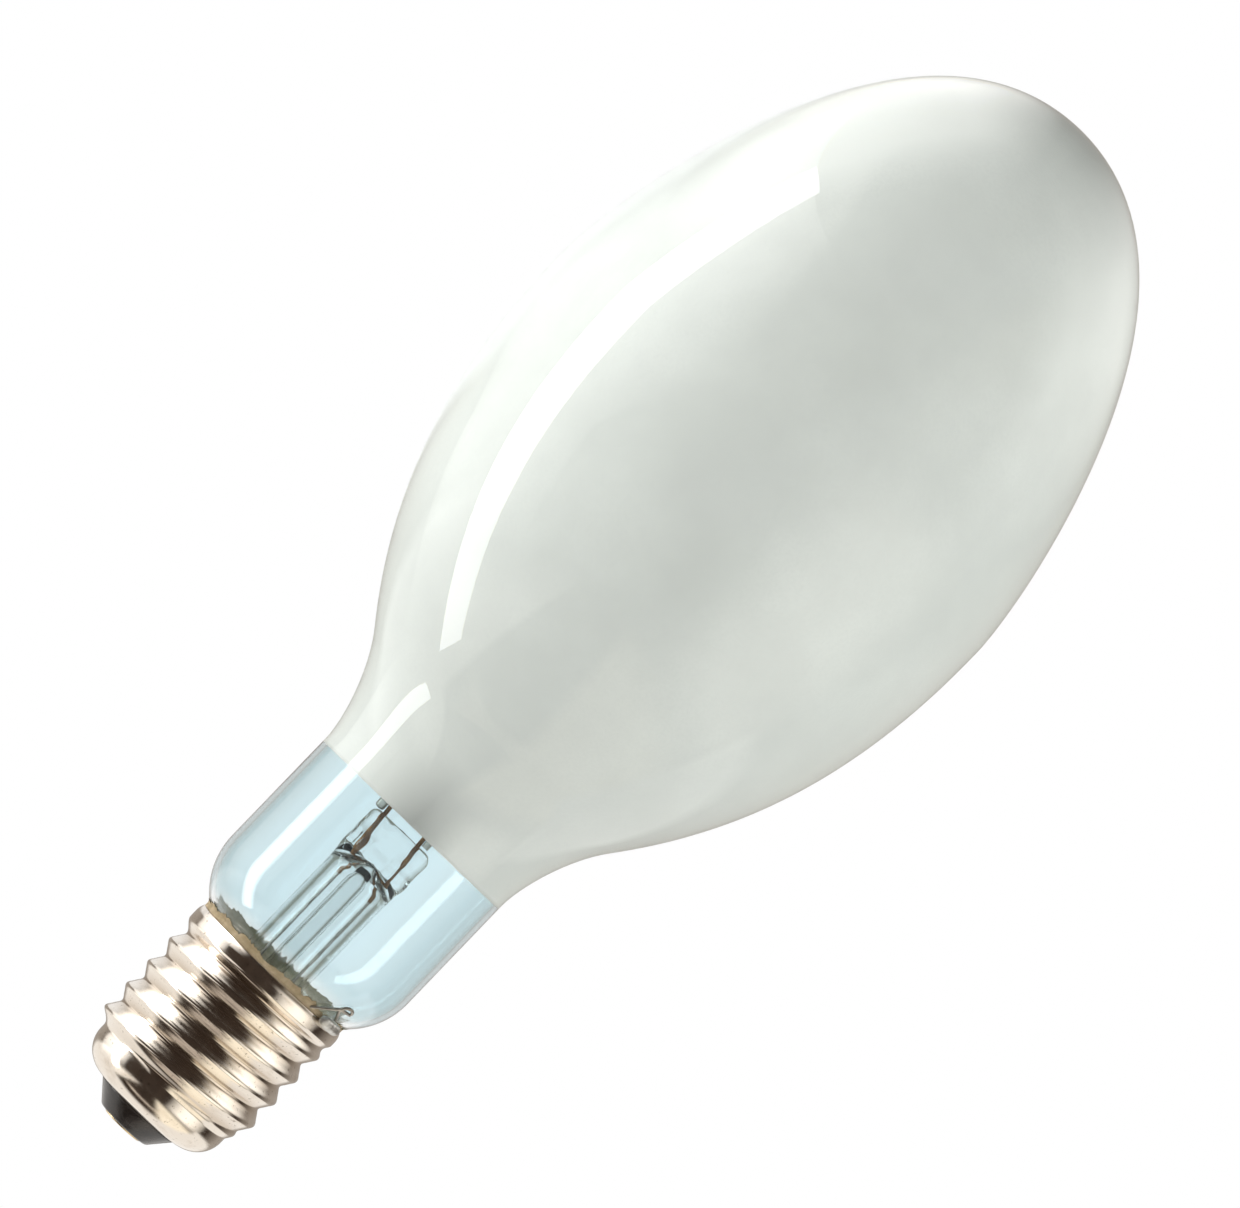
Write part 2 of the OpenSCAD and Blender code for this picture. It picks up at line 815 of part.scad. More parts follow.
module lower_connector() {
    y = max(post_d, tube_lead_d) / 2 + seat;
    color("silver")
    translate([-tube_lead_d / 2, y, connector_z])
    cube([post_x + (tube_lead_d + post_d) / 2, connector_t, connector_h]);
}

module getter_ring() {
    color("gray")
    translate([getter_mid[0], getter_mid[1], getter_z])
    rotate_extrude()
    translate([getter_d / 2, 0])
    circle(d = getter_t);
}

module getter_post() {
    leg = [-leg_x, (frame_d + getter_post_d) / 2 + seat];
    reach = getter_mid + (getter_d / 2 + getter_t / 2 + seat) * unit(leg - getter_mid);
    color("silver")
    wire(rounded([
        [leg[0], leg[1], getter_z - getter_post_h],
        [leg[0], leg[1], getter_z],
        [reach[0], reach[1], getter_z]
    ], getter_post_bend), getter_post_d);
}

// Half plane outline of the chamber with radius r, half length h and end height e
function chamber_outline(r, h, e) = concat(
    [for (w = [-90:10:0]) [r * cos(w), -(h - e) + e * sin(w)]],
    [for (w = [0:10:90]) [r * cos(w), h - e + e * sin(w)]]
);

module pinch() {
    linear_extrude(height = pinch_len + chamber_end / 2)
    union() {
        square([pinch_w - pinch_t, web_t], center = true);
        for (side = [-1, 1])
        translate([side * (pinch_w - pinch_t) / 2, 0])
        circle(d = pinch_t);
    }
}

module arc_tube() {
    h = chamber_len / 2;
    color([0.85, 0.92, 0.95, 0.4])
    difference() {
        union() {
            translate([0, 0, arc_z])
            rotate_extrude()
            polygon(off_axis(chamber_outline(chamber_d / 2, h, chamber_end)));
            for (up = [true, false])
            at_end(up)
            translate([0, 0, h - chamber_end / 2])
            pinch();
            translate([0, chamber_d / 2 - quartz_t / 2, arc_z])
            rotate([-90, 0, 0])
            cylinder(d1 = nib_d, d2 = nib_tip_d, h = nib_h + quartz_t / 2);
        }
        translate([0, 0, arc_z])
        rotate_extrude()
        polygon(off_axis(chamber_outline(chamber_d / 2 - quartz_t, cavity_h, chamber_end)));
        for (up = [true, false])
        at_end(up) {
            translate([-foil_w / 2 - slip, foil_y - slip, h + foil_in - slip])
            cube([foil_w + 2 * slip, foil_t + 2 * slip, foil_len + 2 * slip]);
            cylinder(d = electrode_d + 2 * seat, h = h + foil_in + rod_lap + slip);
            translate([0, 0, h + foil_in + foil_len - rod_lap - slip])
            cylinder(d = tube_lead_d + 2 * seat, h = pinch_len);
        }
    }
}

module electrode(up) {
    color("dimgray")
    at_end(up)
    translate([0, 0, tip_up])
    cylinder(d = electrode_d, h = chamber_len / 2 + foil_in + rod_lap - tip_up);
}

module upper_electrode() { electrode(true); }

module lower_electrode() { electrode(false); }

module electrode_coil(up) {
    wire_d = (coil_d - electrode_d) / 2 - seat;
    color("dimgray")
    at_end(up)
    translate([0, 0, tip_up + coil_back + wire_d / 2])
    rotate_extrude()
    union() {
        for (i = [0:coil_turns - 1])
        translate([(coil_d - wire_d) / 2, i * wire_d * coil_pack])
        circle(d = wire_d);
    }
}

module upper_electrode_coil() { electrode_coil(true); }

module lower_electrode_coil() { electrode_coil(false); }

module foil(up) {
    color("gray")
    at_end(up)
    translate([-foil_w / 2, foil_y, chamber_len / 2 + foil_in])
    cube([foil_w, foil_t, foil_len]);
}

module upper_foil() { foil(true); }

module lower_foil() { foil(false); }

module tube_lead(up, out) {
    from = chamber_len / 2 + foil_in + foil_len - rod_lap;
    color("gray")
    at_end(up)
    translate([0, 0, from])
    cylinder(d = tube_lead_d, h = chamber_len / 2 + pinch_len + out - from);
}

module upper_tube_lead() { tube_lead(true, upper_lead_out); }

module lower_tube_lead() { tube_lead(false, lower_lead_out); }

screw_shell();
cap_insulator();
contact_eyelet();
contact_solder();
side_solder();
cap_cement();
outer_bulb();
inner_coating();
stem();
exhaust_tube();
side_lead();
centre_lead();
side_seal_wire();
centre_seal_wire();
frame_wire();
lower_post();
rod_sleeve_left();
rod_sleeve_right();
upper_clamp_front();
upper_clamp_back();
lower_clamp_front();
lower_clamp_back();
upper_connector();
lower_connector();
getter_post();
getter_ring();
arc_tube();
upper_electrode();
lower_electrode();
upper_electrode_coil();
lower_electrode_coil();
upper_foil();
lower_foil();
upper_tube_lead();
lower_tube_lead();
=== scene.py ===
"""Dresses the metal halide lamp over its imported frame: glass, coat, screw cap, stem, mount and stage."""

import math

import bmesh
import bpy
from bpy.props import FloatProperty, FloatVectorProperty, IntProperty, PointerProperty
from mathutils import Matrix, Vector, noise


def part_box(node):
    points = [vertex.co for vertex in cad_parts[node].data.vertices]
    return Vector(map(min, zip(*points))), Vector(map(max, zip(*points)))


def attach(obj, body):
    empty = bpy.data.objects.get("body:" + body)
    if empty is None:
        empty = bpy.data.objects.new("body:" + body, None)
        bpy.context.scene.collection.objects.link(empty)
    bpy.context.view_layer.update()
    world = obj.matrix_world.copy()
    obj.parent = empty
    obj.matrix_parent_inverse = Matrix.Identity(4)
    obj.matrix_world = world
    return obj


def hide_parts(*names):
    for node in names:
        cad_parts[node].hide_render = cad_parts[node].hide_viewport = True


bl_info = {
    "name": "Metal Halide Lamp",
    "version": (1, 0, 0),
    "blender": (4, 5, 0),
    "location": "3D View > Sidebar > Lamp",
    "description": "Coated metal halide lamp with a clear neck on a 40 mm screw cap",
    "category": "Add Mesh",
}

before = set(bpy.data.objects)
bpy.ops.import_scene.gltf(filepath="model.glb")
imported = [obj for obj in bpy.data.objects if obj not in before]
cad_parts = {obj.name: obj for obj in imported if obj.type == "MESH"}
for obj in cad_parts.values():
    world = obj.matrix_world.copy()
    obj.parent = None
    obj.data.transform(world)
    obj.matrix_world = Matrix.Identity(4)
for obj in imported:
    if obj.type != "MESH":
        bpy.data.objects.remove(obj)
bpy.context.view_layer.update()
SHELL_LOW, SHELL_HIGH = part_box("screw_shell")
BULB_LOW, BULB_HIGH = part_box("outer_bulb")
COAT_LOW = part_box("inner_coating")[0]
STEM_LOW, STEM_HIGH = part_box("stem")
EXHAUST_LOW, EXHAUST_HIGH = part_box("exhaust_tube")
FRAME_LOW, FRAME_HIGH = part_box("frame_wire")

# Gap of a soldered, fused or cemented joint, and room round a piece that only passes by
SEAT = 0.00005
ROOM = 0.00015

# Points that are nearer than this to each other are one point, and those as near to the axis are on it
TOUCHING = 1e-7


def length(name, description, default):
    return FloatProperty(name=name, description=description, default=default, unit="LENGTH", precision=5)


def angle(name, description, degrees):
    return FloatProperty(name=name, description=description, default=math.radians(degrees), subtype="ANGLE")


def level(name, description, default):
    return FloatProperty(name=name, description=description, default=default, min=0)


def tint(name, description, default):
    return FloatVectorProperty(
        name=name, description=description, default=default, subtype="COLOR", size=3, min=0, max=1
    )


class LampBulbSettings(bpy.types.PropertyGroup):
    """Sizes and colours of the outer bulb and its coat"""

    neck_diameter: length("Neck Diameter", "Outside diameter of the clear neck", 0.0502)
    shoulder_radius: length("Shoulder Radius", "Radius of the shoulder over the cap", 0.017)
    shoulder_height: length("Shoulder Height", "Height where the shoulder meets the neck", 0.0586)
    fillet_radius: length("Fillet Radius", "Radius between the shoulder and the glass in the cap", 0.003)
    edge_radius: length("Edge Radius", "Outside radius of the glass in the cap", 0.0163)
    neck_top: length("Neck Top", "Height where the straight neck ends", 0.0864)
    flare_height: length("Flare Height", "Height where the flare is steepest", 0.1098)
    flare_diameter: length("Flare Diameter", "Outside diameter where the flare is steepest", 0.0675)
    flare_angle: angle("Flare Angle", "Angle of the steepest glass to the axis", 37.8)
    widest_height: length("Widest Height", "Height of the widest place", 0.1924)
    body_diameter: length("Body Diameter", "Outside diameter at the widest place", BULB_HIGH.x - BULB_LOW.x)
    wall: length("Glass Wall", "Thickness of the glass", 0.0012)
    coat_wall: length("Coat Thickness", "Thickness of the white coat", 0.0002)
    coat_edge: length("Coat Edge", "Height of the lower edge of the coat", COAT_LOW.z)
    around: IntProperty(name="Steps Around", description="Facets around the bulb", default=224, min=48)
    glass_tint: tint("Glass Tint", "Colour that a wall of glass gives to what it covers", (0.81, 0.92, 0.95))
    coat_colour: tint("Coat Colour", "Colour of the white coat", (0.885, 0.875, 0.82))


class LampCapSettings(bpy.types.PropertyGroup):
    """Sizes and colours of the screw cap"""

    thread_diameter: length("Thread Diameter", "Diameter over the thread crests", 0.0394)
    thread_depth: length("Thread Depth", "Height of a crest over the root", 0.0018)
    thread_pitch: length("Thread Pitch", "Rise of the thread in one turn", 0.00635)
    crest_height: length("Crest Height", "Height of a crest straight above the X axis", 0.0186)
    sheet: length("Sheet", "Thickness of the shell", 0.0005)
    bead_diameter: length("Bead Diameter", "Diameter of the smooth bead under the rim", 0.0395)
    bead_height: length("Bead Height", "Height of the bead", SHELL_HIGH.z - 0.0019)
    bead_curl: length("Bead Curl", "How far the rim turns in over the bead", 0.0005)
    belly_diameter: length("Belly Diameter", "Diameter of the smooth belly", 0.0342)
    belly_height: length("Belly Height", "Height of the belly", SHELL_LOW.z + 0.0065)
    foot_diameter: length("Foot Diameter", "Diameter where the foot turns in", 0.0206)
    foot_flange: length("Foot Flange", "Width of the flange under the foot", 0.0018)
    thread_from: length("Thread Start", "Height where the thread starts", SHELL_LOW.z + 0.0074)
    thread_to: length("Thread End", "Height where the thread ends", SHELL_HIGH.z - 0.0029)
    run_in: length("Run-in", "Height over which the thread comes and goes", 0.003)
    around: IntProperty(name="Steps Around", description="Facets around the shell", default=216, min=48)
    rings: IntProperty(name="Rings", description="Rings from foot to rim", default=190, min=40)
    metal_colour: tint("Metal Colour", "Colour of the plated metal", (0.80, 0.735, 0.655))
    tarnish_colour: tint("Tarnish Colour", "Colour of the metal in the roots", (0.50, 0.40, 0.30))
    glass_colour: tint("Insulator Colour", "Colour of the black glass", (0.016, 0.012, 0.010))
    eyelet_head: length("Eyelet Head", "Thickness of the contact's head", 0.0012)
    eyelet_tube: length("Eyelet Tube", "Outside radius of the contact's tube", 0.0024)
    eyelet_bore: length("Eyelet Bore", "Inside radius of the contact's tube", 0.0014)
    eyelet_flange: length("Eyelet Flange", "Radius of the riveted end of the contact's tube", 0.0032)


class LampStemSettings(bpy.types.PropertyGroup):
    """Sizes of the glass stem and of the wires that pass through it or stand on it"""

    tube_diameter: length("Tube Diameter", "Outside diameter of the stem tube", 0.0155)
    tube_wall: length("Tube Wall", "Wall of the stem tube", 0.0015)
    flare_radius: length("Flare Radius", "Radius of the flare's edge", STEM_HIGH.x)
    flare_edge: length("Flare Edge", "Height of the flare's straight edge", 0.0015)
    trumpet: length("Trumpet", "Height of the trumpet of the flare", 0.016)
    press_width: length("Press Width", "Width of the pressed seal", 0.0162)
    press_thickness: length("Press Thickness", "Thickness of the pressed seal", 0.0064)
    press_height: length("Press Height", "Height of the pressed seal", 0.009)
    fan_height: length("Fan Height", "Height over which the tube is pressed flat", 0.005)
    exhaust_diameter: length("Exhaust Diameter", "Outside diameter of the exhaust tube", 0.0046)
    exhaust_wall: length("Exhaust Wall", "Wall of the exhaust tube", 0.0008)
    lump: length("Lumps", "How far the pressed glass is out of true", 0.00045)
    jaw_mark: length("Jaw Marks", "Depth of the crossed marks that the pressing jaws leave", 0.0005)
    side_wire: length("Side Wire", "How far left of the axis the side seal wire starts", 0.004)
    side_lean: length("Side Wire Lean", "How far the side seal wire leans to the left", 0.0017)
    centre_wire: length("Centre Wire", "How far right of the axis the centre seal wire starts", 0.0049)
    centre_lean: length("Centre Wire Lean", "How far the centre seal wire leans to the left", 0.001)
    seal_wire_radius: length("Seal Wire Radius", "Radius of the wires in the press", 0.0005)
    lead_radius: length("Lead Radius", "Radius of the leads under the press", 0.00035)
    frame_radius: length("Frame Radius", "Radius of the heavy frame wire", 0.0011)


class LampStageSettings(bpy.types.PropertyGroup):
    """Camera, lamps and floor"""

    distance: length("Camera Distance", "Distance of the camera from the axis", 1.05)
    height: length("Camera Height", "Height of the camera", 0.09)
    pitch: angle("Pitch", "Upward tilt of the camera", 3.188)
    roll: angle("Roll", "Roll of the camera", 43.88)
    lens: FloatProperty(
        name="Lens", description="Focal length in millimetres", default=147.34, subtype="DISTANCE_CAMERA"
    )
    floor_height: length("Floor Height", "Height of the floor under the lamp", -0.6)
    ambient: level("Ambient", "Light from below, which fades towards the horizon", 6.4)
    strip: level("Strip Light", "Radiance of the strip at the left", 5.0)
    left: level("Left Soft Box", "Radiance in the middle of the left soft box", 0.74)
    right: level("Right Soft Box", "Radiance in the middle of the right soft box", 1.6)


# Shader and geometry nodes


def feed(tree, socket, value):
    if isinstance(value, bpy.types.NodeSocket):
        tree.links.new(value, socket)
    else:
        socket.default_value = value


def add(tree, kind, inputs=None, **settings):
    """A node of that kind, with its settings and with its inputs linked or set."""
    node = tree.nodes.new(kind)
    for name, value in settings.items():
        setattr(node, name, value)
    for name, value in (inputs or {}).items():
        feed(tree, node.inputs[name], value)
    return node


def maths(tree, operation, *values):
    node = tree.nodes.new("ShaderNodeMath")
    node.operation = operation
    for socket, value in zip(node.inputs, values):
        feed(tree, socket, value)
    return node.outputs[0]


def blend_colour(tree, factor, first, second):
    node = tree.nodes.new("ShaderNodeMix")
    node.data_type = "RGBA"
    feed(tree, node.inputs["Factor"], factor)
    for socket, value in ((node.inputs[6], first), (node.inputs[7], second)):
        feed(tree, socket, value if isinstance(value, bpy.types.NodeSocket) else (*value, 1))
    return node.outputs[2]


def blend_value(tree, factor, first, second):
    """The first value where factor is 0 and the second where it is 1."""
    return maths(tree, "ADD", product(tree, factor, second - first), first)


def spread(tree, value, low, high, to_low, to_high):
    """The value taken from one range to another, and held inside it."""
    node = add(tree, "ShaderNodeMapRange", {"Value": value, "From Min": low, "From Max": high})
    feed(tree, node.inputs["To Min"], to_low)
    feed(tree, node.inputs["To Max"], to_high)
    return node.outputs["Result"]


def ramp(tree, value, empty, full):
    """0 where the value is at empty, 1 where it is at full, and straight between them."""
    return spread(tree, value, empty, full, 0.0, 1.0)


def product(tree, first, *others):
    for value in others:
        first = maths(tree, "MULTIPLY", first, value)
    return first


def most(tree, first, second):
    return maths(tree, "MAXIMUM", first, second)


def shade(colour, share):
    return tuple(c * share for c in colour)


def object_coordinates(tree, stretch=(1, 1, 1)):
    coordinates = tree.nodes.new("ShaderNodeTexCoord").outputs["Object"]
    return add(tree, "ShaderNodeMapping", {"Vector": coordinates, "Scale": stretch}).outputs["Vector"]


def place_on_axes(tree):
    """The X, Y and Z of the shaded point."""
    return add(tree, "ShaderNodeSeparateXYZ", {"Vector": object_coordinates(tree)}).outputs


def off_axis(tree, place):
    """How far that point is from the lamp's axis."""
    squares = [maths(tree, "POWER", place[axis], 2.0) for axis in "XY"]
    return maths(tree, "SQRT", maths(tree, "ADD", *squares))


def grain(tree, scale, detail=4.0, roughness=0.55, stretch=(1, 1, 1), distortion=0.0):
    node = add(
        tree,
        "ShaderNodeTexNoise",
        {
            "Vector": object_coordinates(tree, stretch),
            "Scale": scale,
            "Detail": detail,
            "Roughness": roughness,
            "Distortion": distortion,
        },
    )
    return node.outputs["Fac"]


def bump(tree, height, distance, strength=1.0, under=None):
    node = add(tree, "ShaderNodeBump", {"Height": height, "Distance": distance, "Strength": strength})
    if under is not None:
        tree.links.new(under, node.inputs["Normal"])
    return node.outputs["Normal"]


def new_material(name):
    material = bpy.data.materials.new(name)
    material.use_nodes = True
    tree = material.node_tree
    tree.nodes.clear()
    return material, tree, tree.nodes.new("ShaderNodeOutputMaterial")


def principled(tree, inputs):
    return add(tree, "ShaderNodeBsdfPrincipled", inputs)


def finish_material(name, build):
    """A material whose surface is the shader that build makes in its tree, made once for all pieces."""
    name = "Lamp " + name.replace("_", " ")
    if name in bpy.data.materials:
        return bpy.data.materials[name]
    material, tree, output = new_material(name)
    tree.links.new(build(tree).outputs[0], output.inputs["Surface"])
    return material


def glass_material(name, colour, ripple, ripple_scale, tinted_between=None, wavy_over=None):
    """Clear glass that bends and mirrors what is seen and lets the light of the lamps through.

    The tint shows only between the two heights, because the white coat over them is seen as white and the
    cement under them as brown. Over the height wavy_over the surface is rougher, as pressed glass is.
    """

    def build(tree):
        height = place_on_axes(tree)["Z"]
        wavy = grain(tree, ripple_scale, detail=2.0, stretch=(1, 1, 0.6))
        faint = grain(tree, ripple_scale * 2, detail=3.0)
        tinted = blend_colour(tree, ramp(tree, faint, 0.3, 0.7), shade(colour, 0.985), colour)
        if tinted_between is not None:
            low, high = tinted_between
            above = maths(tree, "GREATER_THAN", height, high)
            under = ramp(tree, height, low + 0.0025, low)
            tinted = blend_colour(tree, most(tree, above, under), tinted, (0.985, 0.99, 0.98))
        strength = 1.0
        if wavy_over is not None:
            strength = spread(tree, height, wavy_over - 0.003, wavy_over + 0.002, 0.12, 1.0)
        glass = principled(
            tree,
            {
                "Base Color": tinted,
                "Roughness": 0.0,
                "IOR": 1.5,
                "Transmission Weight": 1.0,
                "Normal": bump(tree, wavy, ripple, strength),
            },
        )
        clear = add(tree, "ShaderNodeBsdfTransparent", {"Color": (*[math.sqrt(c) for c in colour], 1)})
        path = tree.nodes.new("ShaderNodeLightPath").outputs
        lamp_rays = most(tree, path["Is Shadow Ray"], path["Is Diffuse Ray"])
        return add(tree, "ShaderNodeMixShader", {0: lamp_rays, 1: glass.outputs[0], 2: clear.outputs[0]})

    return finish_material(name, build)


def coat_material(colour, edge):
    """White powder with faint clouds and a fine dust grain, and painted shade that greys its edge in front
    of and behind the press.
    """

    def build(tree):
        clouds = grain(tree, 38.0, detail=3.0)
        dust = grain(tree, 1500.0, detail=3.0)
        cloudy = blend_colour(tree, ramp(tree, clouds, 0.35, 0.65), shade(colour, 0.93), colour)
        dust_and_painted_shade = blend_colour(tree, spread(tree, dust, 0.25, 0.6, 0.35, 0.0), cloudy, shade(colour, 0.9))
        # Painted shade: the coat is greyer over its edge near the axis, in front of and behind the press,
        # where the dark mount would show through it
        place = place_on_axes(tree)
        near_axis = ramp(tree, maths(tree, "ABSOLUTE", place["X"]), 0.010, 0.0)
        near_edge = ramp(tree, place["Z"], edge + 0.016, edge)
        dust_and_painted_shade = blend_colour(tree, product(tree, near_axis, near_edge), dust_and_painted_shade, shade(colour, 0.55))
        return principled(
            tree,
            {
                "Base Color": dust_and_painted_shade,
                "Roughness": spread(tree, dust, 0.3, 0.7, 0.75, 0.95),
                "Specular IOR Level": 0.15,
                "Normal": bump(tree, dust, 0.00002, 0.4),
            },
        )

    return finish_material("white_coat", build)


def metal_material(name, colour, dull, rough, streaks, scale):
    """Plated or bare metal with soft clouds of tarnish and fine drawing lines."""

    def build(tree):
        cloud = grain(tree, scale, detail=5.0)
        lines = grain(tree, 900.0, detail=2.0, stretch=streaks)
        stained = blend_colour(tree, spread(tree, cloud, 0.38, 0.72, 0.0, 0.75), colour, dull)
        dimmed = spread(tree, cloud, 0.3, 0.7, rough * 0.75, rough * 1.35)
        rougher = maths(tree, "ADD", dimmed, product(tree, lines, rough * 0.25))
        return principled(
            tree,
            {
                "Base Color": stained,
                "Metallic": 1.0,
                "Roughness": rougher,
                "Normal": bump(tree, lines, 0.000012, 0.35),
            },
        )

    return finish_material(name, build)


def plated_shell_material(cap):
    """Rolled and plated sheet: bright crests, browner roots, and lines that run round the shell."""

    def build(tree):
        crest = add(tree, "ShaderNodeAttribute", attribute_name="crest").outputs["Fac"]
        cloud = grain(tree, 170.0, detail=5.0, stretch=(1, 1, 2.5))
        lines = grain(tree, 260.0, detail=3.0, stretch=(0.12, 0.12, 9.0))
        specks = grain(tree, 1300.0, detail=2.0)
        low = spread(tree, crest, 0.1, 0.7, 0.55, 0.0)
        stain = most(tree, low, spread(tree, cloud, 0.52, 0.78, 0.0, 0.5))
        colour = blend_colour(tree, stain, tuple(cap.metal_colour), tuple(cap.tarnish_colour))
        speckled = spread(tree, specks, 0.64, 0.74, 0.0, 0.6)
        colour = blend_colour(tree, speckled, colour, shade(cap.tarnish_colour, 0.45))
        dimmed = spread(tree, cloud, 0.3, 0.75, 0.07, 0.18)
        rough = maths(tree, "ADD", dimmed, spread(tree, lines, 0.3, 0.7, 0.0, 0.05))
        surface = bump(tree, lines, 0.00002, 0.45)
        return principled(
            tree,
            {
                "Base Color": colour,
                "Metallic": 1.0,
                "Roughness": rough,
                "Normal": bump(tree, cloud, 0.00006, 0.35, surface),
            },
        )

    return finish_material("plated_shell", build)


def black_glass_material(colour):
    """Moulded black glass with flow lines and a few dull patches."""

    def build(tree):
        flow = grain(tree, 130.0, detail=4.0, stretch=(1, 1, 2.2), distortion=1.2)
        pits = grain(tree, 1400.0, detail=2.0)
        lighter = tuple(min(1, c * 3.2 + 0.006) for c in colour)
        relief = maths(tree, "ADD", flow, product(tree, pits, 0.15))
        return principled(
            tree,
            {
                "Base Color": blend_colour(tree, spread(tree, flow, 0.4, 0.75, 0.0, 0.6), colour, lighter),
                "Roughness": spread(tree, flow, 0.35, 0.7, 0.12, 0.34),
                "IOR": 1.52,
                "Normal": bump(tree, relief, 0.0002, 0.35),
            },
        )

    return finish_material("black_glass", build)


def grainy_material(name, colour, dark, scale, rough, relief, grime_over=None):
    """A dry mineral surface, such as cement or ceramic, browned over the height grime_over."""

    def build(tree):
        coarse = grain(tree, scale, detail=6.0, roughness=0.65)
        fine = grain(tree, scale * 6, detail=3.0)
        mottled = blend_colour(tree, ramp(tree, coarse, 0.3, 0.7), dark, colour)
        mottled = blend_colour(tree, spread(tree, fine, 0.6, 0.8, 0.0, 0.4), mottled, shade(dark, 0.6))
        if grime_over is not None:
            height = place_on_axes(tree)["Z"]
            thick = spread(tree, coarse, 0.25, 0.6, 0.95, 0.6)
            share = spread(tree, height, grime_over - 0.0004, grime_over + 0.0003, 0.0, thick)
            mottled = blend_colour(tree, share, mottled, (0.30, 0.225, 0.11))
        return principled(
            tree,
            {
                "Base Color": mottled,
                "Roughness": spread(tree, fine, 0.3, 0.7, rough * 0.8, rough),
                "Normal": bump(tree, coarse, relief, 0.6, bump(tree, fine, relief * 0.3, 0.5)),
            },
        )

    return finish_material(name, build)


# Meshes


def mesh_object(name, mesh, material):
    """Puts a finished mesh in the scene as a piece that rides on the lamp."""
    piece = bpy.data.objects.new(name, mesh)
    bpy.context.scene.collection.objects.link(piece)
    mesh.materials.clear()
    mesh.materials.append(material)
    for polygon in mesh.polygons:
        polygon.use_smooth = True
    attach(piece, "root")
    return piece


def from_bmesh(name, bm):
    bmesh.ops.remove_doubles(bm, verts=bm.verts, dist=TOUCHING)
    bmesh.ops.recalc_face_normals(bm, faces=bm.faces)
    mesh = bpy.data.meshes.new(name)
    bm.to_mesh(mesh)
    bm.free()
    return mesh


def ringed(bm, rings, closed):
    """Joins rings of points to a skin, with a pole where a ring has one point."""
    rows = [[bm.verts.new(p) for p in points] for points in rings]
    pairs = list(zip(rows, rows[1:]))
    if closed:
        pairs.append((rows[-1], rows[0]))
    for low, high in pairs:
        n = max(len(low), len(high))
        for i in range(n):
            j = (i + 1) % n
            if len(low) == 1 and len(high) == 1:
                break
            if len(low) == 1:
                bm.faces.new((low[0], high[j], high[i]))
            elif len(high) == 1:
                bm.faces.new((low[i], low[j], high[0]))
            else:
                bm.faces.new((low[i], low[j], high[j], high[i]))


def turns(steps):
    """The angles of that many equal steps round a circle."""
    return [2 * math.pi * k / steps for k in range(steps)]


def ring(radius, height, steps):
    if radius < TOUCHING:
        return [Vector((0, 0, height))]
    return [Vector((radius * math.cos(a), radius * math.sin(a), height)) for a in turns(steps)]


def lathe_mesh(name, profile, steps, shake=None):
    """Turns a closed profile of (radius, height) points about the axis; shake moves each point."""
    bm = bmesh.new()
    open_ended = profile[0][0] < TOUCHING and profile[-1][0] < TOUCHING
    ringed(bm, [ring(max(0, r), z, steps) for r, z in profile], closed=not open_ended)
    if shake:
        for vertex in bm.verts:
            vertex.co = shake(vertex.co)
    return from_bmesh(name, bm)


def arc_points(mid, radius, start, end, n):
    angles = (math.radians(start + (end - start) * i / n) for i in range(n + 1))
    return [(mid[0] + radius * math.cos(a), mid[1] + radius * math.sin(a)) for a in angles]


def curve_points(poles, n):
    points = []
    for i in range(n + 1):
        t = i / n
        s = 1 - t
        weights = (s * s * s, 3 * s * s * t, 3 * s * t * t, t * t * t)
        points.append(tuple(sum(w * p[k] for w, p in zip(weights, poles)) for k in range(2)))
    return points


def inwards(points, distance):
    """The same outline moved towards the axis, where it is drawn upwards."""
    moved = []
    for i, (x, z) in enumerate(points):
        before, after = points[max(i - 1, 0)], points[min(i + 1, len(points) - 1)]
        run = Vector((after[0] - before[0], after[1] - before[1])).normalized()
        moved.append((max(0, x - distance * run[1]), z + distance * run[0]))
    return moved


def bend(start, corner, end, steps):
    """Points of the curve that leaves start towards the corner and ends at end."""
    ways = (k / steps for k in range(steps + 1))
    return [(1 - t) ** 2 * start + 2 * (1 - t) * t * corner + t * t * end for t in ways]


def rounded_corners(points, radius, steps):
    """A profile whose corners are rounded over that length."""
    result = []
    count = len(points)
    for i, point in enumerate(points):
        here = Vector(point)
        before, after = Vector(points[i - 1]), Vector(points[(i + 1) % count])
        if here.x < TOUCHING:
            result.append(tuple(here))
            continue
        a, b = before - here, after - here
        cut = min(radius, 0.4 * a.length, 0.4 * b.length)
        start, end = here + a.normalized() * cut, here + b.normalized() * cut
        result += [tuple(point) for point in bend(start, here, end, steps)]
    return result


def wire_end(point, outwards, loop, radius, steps):
    """Rings of a rounded wire end, half as deep as it is wide, from the last full ring to its tip."""
    rings = []
    for k in range(1, steps):
        w = math.pi / 2 * k / steps
        middle = point + outwards * radius * 0.5 * math.sin(w)
        rings.append([middle + v * radius * math.cos(w) for v in loop])
    return rings + [[point + outwards * radius * 0.5]]


def wire_mesh(name, path, radius, sides=16, cap_steps=3):
    """A round wire along a path with rounded ends; radius is a number or a function of 0 to 1."""
    thick = radius if callable(radius) else (lambda t: radius)
    path = [Vector(p) for p in path]
    last = len(path) - 1
    side = Vector((0, 1, 0))
    rings = []
    for i, point in enumerate(path):
        along = (path[min(i + 1, last)] - path[max(i - 1, 0)]).normalized()
        side = (side - side.dot(along) * along).normalized()
        other = along.cross(side)
        r = thick(i / last)
        loop = [side * math.cos(a) + other * math.sin(a) for a in turns(sides)]
        if i == 0:
            rings += wire_end(point, -along, loop, r, cap_steps)[::-1]
        rings.append([point + v * r for v in loop])
        if i == last:
            rings += wire_end(point, along, loop, r, cap_steps)
    bm = bmesh.new()
    ringed(bm, rings, closed=False)
    return from_bmesh(name, bm)


